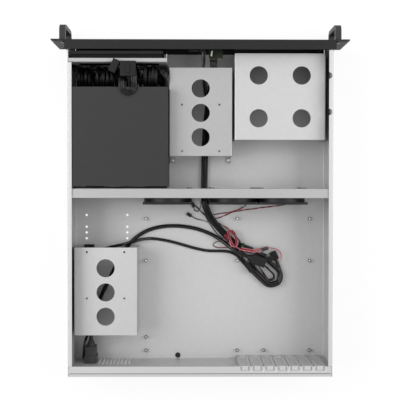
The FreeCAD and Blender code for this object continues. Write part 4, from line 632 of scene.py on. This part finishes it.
def hank_points(first, turns, top, seed):
    """Points of upright turns, each a stadium in the YZ plane, that start at the bottom."""
    points = []
    for step in range(turns * HANK_STEPS + HANK_STEPS // 4):
        travelled = step / HANK_STEPS
        angle = -math.pi / 2 - math.tau * travelled
        x = first + HANK_PITCH * travelled
        low = HANK_OVER_SPARE if SPARE_REACH[0] < x < SPARE_REACH[1] else HANK_REST
        high = top + HANK_UNEVEN * math.sin(2.6 * math.floor(travelled) + seed)
        upper = math.sin(angle) > 0
        centre = high - HANK_RADIUS if upper else low + HANK_RADIUS
        lean = HANK_LEAN * math.sin(3.1 * travelled + seed)
        points.append((
            x + (HANK_SWAY * math.sin(4 * travelled + seed) if upper else 0.0),
            HANK_MIDDLE + HANK_RADIUS * math.cos(angle) + lean,
            centre + HANK_RADIUS * math.sin(angle),
        ))
    return points


def hank(name, first, turns, top, seed, plug_height, plug_turn):
    """A folded supply lead with its housing."""
    turned = hank_points(first, turns, top, seed)
    low = turned[0][2]
    x = turned[-1][0]
    front = HANK_MIDDLE - HANK_RADIUS + 0.0008
    route = [
        (first - 0.003, 0.0767, low + 0.008), (first - 0.003, 0.0715, low + 0.008),
        (first - 0.002, 0.065, low + 0.004),
    ] + turned + [
        (x + 0.0012, front - 0.0004, plug_height - 0.014), (x + 0.002, front, plug_height - 0.006),
        (x + 0.002, front, plug_height),
    ]
    plug = housing(
        name + "_plug", HANK_HOUSING, (x + 0.002, front, plug_height - 0.001), plug_turn,
        tilt=math.radians(88),
    )
    return bundle(
        name, route, HANK_DIAMETER, HANK_WIRES, [FOLDED_WIRE], "cable_black", turn=30.0,
        far_end="connector", stiffness="limp", lay="coiled", with_pieces=[plug],
    )


hank("folded_lead_1", 0.0690, 4, 0.0785, 0.3, 0.0560, 0.2)
hank("folded_lead_2", 0.1035, 2, 0.0765, 1.9, 0.0540, -0.1)
hank("folded_lead_3", 0.1270, 2, 0.0430, 2.7, 0.0260, 0.1)
hank("folded_lead_4", 0.1440, 5, 0.0600, 4.0, 0.0480, 0.3)
hank("folded_lead_5", 0.1810, 4, 0.0560, 5.3, 0.0440, -0.2)

# %% [markdown]
# One more lead hangs over in a plain bow beside the drive cage, with its housing on the floor.

# %% Bowed supply lead
BOW_ROUTE = [
    (0.0565, 0.0767, 0.062), (0.0565, 0.0690, 0.0635), (0.0566, 0.0600, 0.0700),
    (0.0568, 0.0500, 0.0700), (0.0570, 0.0425, 0.0620), (0.0570, 0.0412, 0.0500),
    (0.0570, 0.0412, 0.0360), (0.0570, 0.0412, 0.0230),
]
bow_plug = housing(
    "bowed_lead_plug", (0.0066, 0.0200, 0.0066), (0.0570, 0.0414, 0.0240), 0.0,
    tilt=math.radians(-90),
)
bundle(
    "bowed_lead", BOW_ROUTE, 0.005, ring(4, 0.0014, 0.0011, first=0.4), [BLACK_WIRE], "cable_black",
    turn=60.0, far_end="connector", stiffness="limp", lay="hanging", with_pieces=[bow_plug],
)

# %% [markdown]
# ## Panel leads on the loom
# Thin leads leave the loom, most of them where it is tied. One with a red and one with a deep red
# wire are folded up on top of it, one of red and rose runs on over the coil, one of black and plum
# lies inside the coil, and a black one ends in a wider housing. One of rose and black lies in a
# flat loop on the floor, a grey and black pair lies beside the loom, and two short leads end in
# small housings.

# %% Panel leads
TRIPLE = [(-0.0008, -0.0004, 0.00062, 0), (0.0008, -0.0004, 0.00062, 1), (0.0, 0.0009, 0.00062, 2)]
PAIR = [(-0.0005, 0.0, 0.0005, 0), (0.0005, 0.0, 0.0005, 1)]
FOLD_TURNED = math.radians(106.5)
FOLD_TILT = 0.22
RED_FOLD = (
    (0.0060, 0.0112), (0.0056, 0.0118), (0.0060, 0.0140), (0.0064, 0.0162), (0.0058, 0.0174),
    (0.0060, 0.0184),
)
RED_ROUTE = [
    (-0.0425, 0.3200, 0.0118), (-0.0440, 0.3232, 0.0128), (-0.0475, 0.3290, 0.0136),
] + coil_points((-0.0560, 0.3262, 0), FOLD_TURNED, 0.0150, RED_FOLD, 57, FOLD_TILT) + [
    (-0.0660, 0.3440, 0.0200), (-0.0735, 0.3462, 0.0188), (-0.0820, 0.3478, 0.0168),
    (-0.0900, 0.3492, 0.0156), (-0.0980, 0.3486, 0.0140), (-0.1060, 0.3462, 0.0120),
]
red_plug = housing(
    "red_lead_plug", (0.0062, 0.0120, 0.0030), (-0.1056, 0.3464, 0.0118), math.radians(108),
    tilt=math.radians(-10), finish=BLACK_WIRE,
)
bundle(
    "red_lead", RED_ROUTE, 0.0028, TRIPLE, [RED_WIRE, ROSE_WIRE, BLACK_WIRE], "cable_red",
    turn=50.0, wander=0.9,
    far_end="connector", stiffness="limp", lay="coiled", with_pieces=[red_plug],
)

DEEP_FOLD = (
    (0.0038, 0.0130), (0.0034, 0.0138), (0.0038, 0.0152), (0.0036, 0.0166), (0.0038, 0.0172),
)
DEEP_ROUTE = [
    (-0.0440, 0.3195, 0.0120), (-0.0470, 0.3240, 0.0134), (-0.0505, 0.3300, 0.0138),
] + coil_points((-0.0562, 0.3262, 0), FOLD_TURNED, 0.0160, DEEP_FOLD, 43, FOLD_TILT) + [
    (-0.0655, 0.3415, 0.0178), (-0.0730, 0.3436, 0.0186), (-0.0820, 0.3458, 0.0168),
    (-0.0900, 0.3474, 0.0160), (-0.0975, 0.3500, 0.0146), (-0.1040, 0.3520, 0.0132),
]
deep_plug = housing(
    "deep_lead_plug", (0.0052, 0.0110, 0.0030), (-0.1036, 0.3519, 0.0134), math.radians(70),
    finish=BLACK_WIRE,
)
bundle(
    "deep_lead", DEEP_ROUTE, 0.0018, [(-0.0004, 0.0, 0.00048, 0), (0.0004, 0.0, 0.00048, 1)],
    [DEEP_RED_WIRE, RED_WIRE], "cable_red", turn=90.0, wander=0.6,
    far_end="connector", stiffness="limp", lay="coiled", with_pieces=[deep_plug],
)

ROSE_ROUTE = [
    (-0.0700, 0.3425, 0.0172), (-0.0770, 0.3432, 0.0168), (-0.0860, 0.3450, 0.0150),
    (-0.0950, 0.3462, 0.0128), (-0.1067, 0.3432, 0.0110), (-0.1210, 0.3420, 0.0110),
    (-0.1335, 0.3450, 0.0110), (-0.1395, 0.3525, 0.0114), (-0.1402, 0.3600, 0.0122),
    (-0.1372, 0.3680, 0.0128),
]
bundle(
    "rose_lead", ROSE_ROUTE, 0.0022, PAIR, [RED_WIRE, ROSE_WIRE], "cable_red",
    turn=90.0, far_end="object", stiffness="limp", lay="loose",
)

INNER_FOLD = (
    (0.0072, 0.0044), (0.0068, 0.0046), (0.0072, 0.0074), (0.0076, 0.0102), (0.0070, 0.0124),
)
INNER_ROUTE = [
    (-0.0640, 0.3430, 0.0060), (-0.0705, 0.3480, 0.0056), (-0.0765, 0.3525, 0.0092),
    (-0.0830, 0.3570, 0.0130), (-0.0900, 0.3622, 0.0132), (-0.0970, 0.3690, 0.0126),
    (-0.1050, 0.3800, 0.0095),
] + coil_points((-0.1103, 0.3825, 0), math.radians(138), 0.028, INNER_FOLD, 49) + [
    (-0.1160, 0.3777, 0.0124), (-0.1095, 0.3716, 0.0130), (-0.1050, 0.3664, 0.0134),
    (-0.1042, 0.3618, 0.0136), (-0.1076, 0.3594, 0.0137), (-0.1116, 0.3604, 0.0137),
    (-0.1150, 0.3625, 0.0137),
]
inner_plug = housing(
    "inner_lead_plug", (0.0080, 0.0120, 0.0044), (-0.1146, 0.3625, 0.0138), math.radians(102),
)
bundle(
    "inner_lead", INNER_ROUTE, 0.0028, TRIPLE, [BLACK_WIRE, PLUM_WIRE, BLACK_SHEATH], "cable_black",
    turn=60.0, wander=0.8,
    far_end="connector", stiffness="limp", lay="coiled", with_pieces=[inner_plug],
)

SOCKET_ROUTE = [
    (-0.0600, 0.3405, 0.0075), (-0.0635, 0.3450, 0.0085), (-0.0668, 0.3500, 0.0095),
    (-0.0700, 0.3545, 0.0098), (-0.0732, 0.3592, 0.0098), (-0.0762, 0.3640, 0.0098),
    (-0.0790, 0.3690, 0.0110), (-0.0810, 0.3720, 0.0128),
]
socket_plug = housing(
    "socket_lead_plug", (0.0090, 0.0150, 0.0046), (-0.0806, 0.3712, 0.0140), math.radians(36),
)
bundle(
    "socket_lead", SOCKET_ROUTE, 0.0034, ring(3, 0.0009, 0.00084), [BLACK_WIRE], "cable_black",
    turn=60.0, far_end="connector", stiffness="limp", lay="loose", with_pieces=[socket_plug],
)

LOOP_ROUTE = [
    (-0.0520, 0.3325, 0.0040), (-0.0470, 0.3332, 0.0026), (-0.0380, 0.3318, 0.0024),
    (-0.0277, 0.3325, 0.0024), (-0.0226, 0.3362, 0.0024), (-0.0236, 0.3408, 0.0024),
    (-0.0310, 0.3430, 0.0024), (-0.0415, 0.3428, 0.0024), (-0.0500, 0.3424, 0.0030),
    (-0.0580, 0.3424, 0.0050),
]
bundle(
    "loop_lead", LOOP_ROUTE, 0.0022, PAIR, [ROSE_WIRE, BLACK_WIRE], "cable_red",
    turn=60.0, far_end="object", stiffness="limp", lay="loose",
)

SIDE_ROUTE = [
    (-0.0075, 0.2830, 0.0044), (-0.0098, 0.2892, 0.0026), (-0.0140, 0.2975, 0.0024),
    (-0.0196, 0.3065, 0.0024), (-0.0262, 0.3156, 0.0024), (-0.0340, 0.3236, 0.0026),
    (-0.0400, 0.3270, 0.0044),
]
bundle(
    "side_lead", SIDE_ROUTE, 0.0022, PAIR, [GREY_WIRE, BLACK_WIRE], "cable_black",
    turn=20.0, far_end="object", stiffness="limp", lay="loose",
)

TAIL_ROUTES = (
    [
        (-0.0030, 0.2590, 0.0050), (-0.0020, 0.2650, 0.0032), (-0.0010, 0.2710, 0.0026),
        (0.0004, 0.2770, 0.0026), (0.0040, 0.2806, 0.0026), (0.0080, 0.2796, 0.0030),
        (0.0100, 0.2764, 0.0034), (0.0108, 0.2736, 0.0034),
    ],
    [
        (-0.0195, 0.3010, 0.0044), (-0.0150, 0.2994, 0.0028), (-0.0085, 0.2970, 0.0026),
        (-0.0015, 0.2952, 0.0026), (0.0050, 0.2936, 0.0028), (0.0090, 0.2918, 0.0034),
        (0.0124, 0.2900, 0.0034), (0.0150, 0.2884, 0.0034),
    ],
)
for number, (route, heading) in enumerate(zip(TAIL_ROUTES, (-2.87, -2.1)), 1):
    plug = housing(
        "tail_%d_plug" % number, (0.0052, 0.0090, 0.0030), route[-1], heading, finish=BLACK_WIRE,
    )
    bundle(
        "tail_%d" % number, route, 0.002, PAIR, [BLACK_WIRE, GREY_WIRE], "cable_black",
        turn=120.0, far_end="connector", stiffness="limp", lay="loose", with_pieces=[plug],
    )

# %% [markdown]
# Grey and black wires of the front sockets hang from the board to the loom, a white plug stands on
# the board's header, and an earth lead leaves the rear wall beside the inlet and runs under the
# cage.

# %% Leads at the front sockets and at the inlet
WHITE_NYLON = sheath("white_nylon", (0.55, 0.55, 0.52), 0.4, 0.1)
housing(
    "header_plug", (0.0024, 0.0085, 0.0026), (-0.0190, 0.0158, 0.0672), -0.15, finish=WHITE_NYLON,
)
FRONT_SOCKET_ROUTE = [
    (-0.0055, 0.0150, 0.0560), (-0.0055, 0.0200, 0.0535), (-0.0056, 0.0300, 0.0450),
    (-0.0058, 0.0400, 0.0350), (-0.0062, 0.0500, 0.0250), (-0.0068, 0.0600, 0.0160),
    (-0.0080, 0.0700, 0.0105), (-0.0100, 0.0820, 0.0080),
]
SOCKET_WIRES = ring(3, 0.0026, 0.0009) + ring(3, 0.0026, 0.0009, first=math.pi / 3, choice=1)
bundle(
    "front_socket_lead", FRONT_SOCKET_ROUTE, 0.0070, SOCKET_WIRES, [GREY_WIRE, BLACK_WIRE],
    "cable_black", turn=12.0, far_end="object", stiffness="limp", lay="hanging",
)

EARTH_ROUTE = [
    (0.1972, 0.5290, 0.0300), (0.1969, 0.5225, 0.0300), (0.1958, 0.5080, 0.0290),
    (0.1946, 0.4995, 0.0265), (0.1922, 0.4925, 0.0225), (0.1900, 0.4850, 0.0180),
    (0.1893, 0.4710, 0.0110), (0.1893, 0.4560, 0.0068), (0.1892, 0.4410, 0.0052),
    (0.1888, 0.4290, 0.0046),
]
single_lead(
    "earth_lead", EARTH_ROUTE, 0.0045, BLACK_WIRE, "cable_black",
    far_end="object", stiffness="limp", lay="loose",
)

# %% [markdown]
# ## Filter mat
# Behind the fan grille a mat of black open foam fills the space up to the front wall. A strip of the
# same foam lies in the gap between the power supply and the crossbar as painted shade: a dark block
# that stands for the shadow in that gap. Each is a cube whose faces are cut into a grid and pushed in
# and out a little, because foam is never flat.

# %% Filter mat
FOAM_CUTS = 11
FOAM_PUSH = 0.0005


def foam_mat(name, low, high, finish):
    """A block of foam between two corners."""
    form = bmesh.new()
    bmesh.ops.create_cube(form, size=1.0)
    size = Vector(high) - Vector(low)
    bmesh.ops.scale(form, vec=size, verts=form.verts)
    bmesh.ops.subdivide_edges(form, edges=form.edges[:], cuts=FOAM_CUTS, use_grid_fill=True)
    for vert in form.verts:
        push = math.sin(170 * vert.co.x + 1) * math.cos(150 * vert.co.z) * FOAM_PUSH
        vert.co.y += push if abs(vert.co.y) < size.y * 0.45 else -abs(push)
        vert.co.z -= abs(push) if vert.co.z > size.z * 0.45 else 0.0
    middle = (Vector(low) + Vector(high)) / 2
    return finished_mesh(name, form, finish, Matrix.Translation(middle))


FOAM = sheath("filter_foam", (0.006, 0.006, 0.006), 0.9, 0.0)
foam_mat("filter_mat", (0.0625, 0.0242, 0.0036), (0.2075, 0.0300, 0.0830), FOAM)
# Painted shade: this dark foam strip stands for the shadow in the gap between the power supply and
# the crossbar.
foam_mat("supply_gap_shade", (0.0545, 0.2378, 0.0735), (0.2060, 0.2405, 0.0820), FOAM)
print("filter mat and supply pad made")

# %% [markdown]
# A long thin dark bar with bevelled edges lies along the rear rail as painted shade: it stands for
# the shadow at the step between the rail and the rear panel.

# %% Painted shade along the rear rail
shade_bar = bmesh.new()
add_block(shade_bar, (0.4240, 0.0011, 0.0004), (0, 0, 0), 0.0001)
# Painted shade: a dark grey for the shadow line at the rail's step.
SHADE_BAR_GREY = sheath("shade_bar_grey", (0.09, 0.09, 0.09), 0.7, 0.0)
finished_mesh("rail_shade_bar", shade_bar, SHADE_BAR_GREY, Matrix.Translation((0, 0.5416, 0.0859)))
print("rail seam made")

# %% [markdown]
# ## Finishes of the sheet metal and the plastics
# The body is zinc-coated steel: bright grey, a little uneven from the zinc, with very fine rolling
# lines and a soft shine. The shader is a little less than half metallic, so its look comes partly
# from its own grey and partly from what it reflects, and the roughness is high enough to spread the
# lamps into an even grey.

# %% Finish: galvanised sheet
# Heights between which the painted highlight on the top lip of the walls fades in.
HIGHLIGHT_START = 0.080
HIGHLIGHT_END = 0.0865
SHEET_ROUGHNESS = 0.5


def galvanised(name, grey, top_highlight=1.0):
    """Zinc-coated steel with faint rolling lines and small soft patches; its top lip gets a painted
    highlight, a paler grey set by height.
    """
    finish, tree, shader, place = new_finish(name, metallic=0.45)
    patches = noise(tree, place, 120.0)
    lines = noise(tree, place, 900.0, detail=3.0, stretch=(1, 0.04, 1))
    plain = tint(tree, patches, (grey * 0.95,) * 3, (grey * 1.04,) * 3)
    height = tree.nodes.new("ShaderNodeSeparateXYZ")
    tree.links.new(place, height.inputs["Vector"])
    # Painted highlight: above these heights the colour turns to the plain grey times the highlight
    # factor, so the top lip looks paler, as if more light fell on it.
    folded = spread(tree, height.outputs["Z"], 0.0, 1.0, HIGHLIGHT_START, HIGHLIGHT_END)
    mix = tree.nodes.new("ShaderNodeMix")
    mix.data_type = "RGBA"
    mix.inputs["B"].default_value = (grey * top_highlight, grey * top_highlight, grey * top_highlight, 1)
    tree.links.new(folded, mix.inputs["Factor"])
    tree.links.new(plain, mix.inputs["A"])
    rough = spread(tree, lines, SHEET_ROUGHNESS - 0.03, SHEET_ROUGHNESS + 0.05)
    connect(tree, shader, mix.outputs["Result"], rough)
    relief(tree, shader, lines, 0.12, 0.00002)
    return finish


# %% [markdown]
# The front panel is powder-coated: a fine orange peel that hides the steel. The handles are
# anodised, which is smoother and a little metallic. Mouldings are matt plastic with a spark-eroded
# grain, and only their colour and roughness change from part to part.

# %% Finishes: coats and plastics
def powder_coat(name, grey, roughness=0.5):
    """Powder coat with orange peel."""
    finish, tree, shader, place = new_finish(name, shine=0.2)
    peel = noise(tree, place, 700.0, detail=2.0)
    tone = noise(tree, place, 60.0)
    base = tint(tree, tone, (grey * 0.93,) * 3, (grey * 1.07,) * 3)
    rough = spread(tree, peel, roughness - 0.06, roughness + 0.1)
    connect(tree, shader, base, rough)
    relief(tree, shader, peel, 0.5, 0.00008)
    return finish


def moulded(name, colour, roughness=0.5, grain=1400.0):
    """Moulded plastic or rubber with a fine grain."""
    finish, tree, shader, place = new_finish(name, shine=0.2)
    specks = noise(tree, place, grain, detail=3.0)
    tone = noise(tree, place, 90.0)
    base = tint(tree, tone, times(colour, 0.88), times(colour, 1.12))
    rough = spread(tree, specks, roughness - 0.06, roughness + 0.08)
    connect(tree, shader, base, rough)
    relief(tree, shader, specks, 0.4, 0.00005)
    return finish


def plated(name, colour, roughness=0.25):
    """Bright plating on small parts."""
    finish, tree, shader, place = new_finish(name, metallic=1.0)
    smears = noise(tree, place, 400.0)
    base = tint(tree, smears, times(colour, 0.9), times(colour, 1.06))
    rough = spread(tree, smears, roughness - 0.06, roughness + 0.1)
    connect(tree, shader, base, rough)
    return finish


# %% [markdown]
# The sheets are all one zinc-coated steel set to several greys: the wide cage and the rear panel a
# little paler, which is painted light, and the crossbar, the front wall and the front cage darker,
# which is painted shade. Small parts have finishes of their own.
# The record gives each node a material slot, and one table says which finish belongs to which slot.

# %% The finishes and their slots
GALVANISED = galvanised("galvanised", 0.44)
# The tray's top lip gets a painted highlight, 6 % paler than its grey.
TRAY_SHEET = galvanised("tray_sheet", 0.46, top_highlight=1.06)
# Painted light: a paler copy of the same steel for the wide cage and the rear panel.
LIT_CAGE_SHEET = galvanised("lit_cage_sheet", 0.455)
# Painted shade: a darker copy of the same steel for the crossbar, the front wall and the front cage.
SHADED_SHEET = galvanised("shaded_sheet", 0.35)
SLOT_SHEET = galvanised("slot_sheet", 0.34)
COVER_SHEET = galvanised("cover_sheet", 0.47)
RAIL_SHEET = galvanised("rail_sheet", 0.47)
PANEL_COAT = powder_coat("panel_coat", 0.010)
SUPPLY_PAINT = powder_coat("supply_paint", 0.029, 0.55)
HANDLE_FINISH = powder_coat("handle_finish", 0.030, 0.4)
BLACK_PLASTIC = moulded("black_plastic", (0.014, 0.014, 0.015))
FRAME_PLASTIC = moulded("frame_plastic", (0.006, 0.006, 0.006), 0.6)
TIE_NYLON = moulded("tie_nylon", (0.020, 0.052, 0.026), 0.4)
FAN_PLASTIC = moulded("fan_plastic", (0.012, 0.012, 0.013), 0.42, 900.0)
RUBBER = moulded("rubber", (0.012, 0.012, 0.012), 0.6)
CONNECTOR_PLASTIC = moulded("connector_plastic", (0.007, 0.007, 0.0075), 0.45)
SCREW_ZINC = plated("screw_zinc", (0.50, 0.50, 0.51))
# The standoffs' plating is a dark grey: partly their own plating, partly painted shade for the shadow
# they sit in.
STANDOFF_METAL = plated("standoff_metal", (0.17, 0.17, 0.17), 0.4)
SCREW_BLACK = plated("screw_black", (0.09, 0.09, 0.095), 0.35)
SOCKET_SHELL = plated("socket_shell", (0.72, 0.72, 0.72), 0.2)
INLET_PLASTIC = moulded("inlet_plastic", (0.045, 0.045, 0.045))
BOARD_MASK = moulded("board_mask", (0.016, 0.020, 0.010), 0.35)

FINISH_OF_SLOT = {
    "galvanised": GALVANISED,
    "black_paint": PANEL_COAT,
    "psu_paint": SUPPLY_PAINT,
    "black_plastic": BLACK_PLASTIC,
    "handle_metal": HANDLE_FINISH,
    "bright_screw": SCREW_ZINC,
    "black_screw": SCREW_BLACK,
    "brass_plate": STANDOFF_METAL,
    "cable_black": BLACK_SHEATH,
    "cable_red": RED_WIRE,
    "board_green": BOARD_MASK,
    "socket_steel": SOCKET_SHELL,
    "rubber_black": RUBBER,
}
print("finishes in all:", len(bpy.data.materials))

# %% [markdown]
# Each node first gets the finish of its slot. Some then get one of their own: the fans, the sheets
# that are darker or paler than the body, the connectors and a few small parts.

# %% Give every node its finish
def set_finish(node, finish):
    """Put one finish on a node of the frame."""
    slots = nodes[node].data.materials
    slots.clear()
    slots.append(finish)


for subpart in frame["record"]["subparts"]:
    set_finish(subpart["node"], FINISH_OF_SLOT[subpart["material_slot"]])
for node in nodes:
    if node.startswith(("fan_", "psu_fan_")) and "screws" not in node:
        set_finish(node, FAN_PLASTIC)
set_finish("tray", TRAY_SHEET)
# Painted shade on these three parts through the darker copy of the steel, and painted light on the
# two below through the paler copy.
for node in ("crossbar", "front_wall", "front_drive_cage"):
    set_finish(node, SHADED_SHEET)
for node in ("wide_drive_cage", "rear_panel"):
    set_finish(node, LIT_CAGE_SHEET)
set_finish("cable_tie", TIE_NYLON)
set_finish("filter_frame", FRAME_PLASTIC)
set_finish("rear_rail", RAIL_SHEET)
set_finish("slot_panel", SLOT_SHEET)
set_finish("slot_covers", COVER_SHEET)
set_finish("mains_inlet", INLET_PLASTIC)
for node in nodes:
    if node.endswith("_connector") or node in ("drive_socket", "mains_plug"):
        set_finish(node, CONNECTOR_PLASTIC)
print("finishes set on", len(nodes), "nodes")

# %% [markdown]
# ## Floor and light
# The case stands on a plain white floor. Seen straight by the camera or in a reflection the floor
# is mostly a white glow, so the surround stays white, and for all other light it is a pale matt
# surface that still takes the object's shadow. The light comes from three large soft lamps, at the
# left, the right and the front, and from a sky that is white where it is seen and dimmer as light.
# Their level is one where a colour comes out about as it is written.

# %% Floor, lamps and sky
FLOOR_SIZE = 12.0
FLOOR_GLOW = 0.88
SKY_STRENGTH = 0.42
LAMP_SIZE = 1.4
LAMPS = {
    "left_lamp": ((1.5, 0.0, 1.5), 31.0),
    "right_lamp": ((-1.5, 0.0, 1.5), 24.0),
    "front_lamp": ((0.0, -1.6, 1.3), 10.0),
}
LAMP_AIM = (0, 0.27, 0.05)


def seen_rays(tree):
    """1 for the rays that show the background: those of the camera, of metal and of glass."""
    path = tree.nodes.new("ShaderNodeLightPath")
    seen = path.outputs["Is Camera Ray"]
    for ray in ("Is Glossy Ray", "Is Transmission Ray"):
        either = tree.nodes.new("ShaderNodeMath")
        either.operation = "MAXIMUM"
        tree.links.new(seen, either.inputs[0])
        tree.links.new(path.outputs[ray], either.inputs[1])
        seen = either.outputs["Value"]
    return seen


def floor_finish():
    """Pale matt floor that glows white where it is seen."""
    finish, tree, shader, _ = new_finish("floor_finish")
    shader.inputs["Base Color"].default_value = (0.9, 0.9, 0.9, 1)
    shader.inputs["Roughness"].default_value = 0.9
    seen = seen_rays(tree)
    share = tree.nodes.new("ShaderNodeMath")
    share.operation = "MULTIPLY"
    share.inputs[1].default_value = FLOOR_GLOW
    tree.links.new(seen, share.inputs[0])
    glow = tree.nodes.new("ShaderNodeEmission")
    mix = tree.nodes.new("ShaderNodeMixShader")
    tree.links.new(share.outputs["Value"], mix.inputs["Fac"])
    tree.links.new(shader.outputs["BSDF"], mix.inputs[1])
    tree.links.new(glow.outputs["Emission"], mix.inputs[2])
    tree.links.new(mix.outputs["Shader"], tree.nodes["Material Output"].inputs["Surface"])
    return finish


floor_mesh = bpy.data.meshes.new("floor")
floor_form = bmesh.new()
bmesh.ops.create_grid(floor_form, x_segments=1, y_segments=1, size=FLOOR_SIZE / 2)
floor_form.to_mesh(floor_mesh)
floor_form.free()
floor_mesh.materials.append(floor_finish())
floor = bpy.data.objects.new("floor", floor_mesh)
bpy.context.scene.collection.objects.link(floor)

for name, (place, power) in LAMPS.items():
    lamp_data = bpy.data.lights.new(name, "AREA")
    lamp_data.size = LAMP_SIZE
    lamp_data.energy = power
    lamp = bpy.data.objects.new(name, lamp_data)
    lamp.location = place
    lamp.rotation_euler = (Vector(LAMP_AIM) - Vector(place)).to_track_quat("-Z", "Y").to_euler()
    bpy.context.scene.collection.objects.link(lamp)
print("lamps:", list(LAMPS))

sky = bpy.data.worlds.new("sky")
sky.use_nodes = True
sky.node_tree.nodes["Background"].inputs["Color"].default_value = (1, 1, 1, 1)
strength = spread(sky.node_tree, seen_rays(sky.node_tree), SKY_STRENGTH, 1.0)
sky.node_tree.links.new(strength, sky.node_tree.nodes["Background"].inputs["Strength"])
bpy.context.scene.world = sky
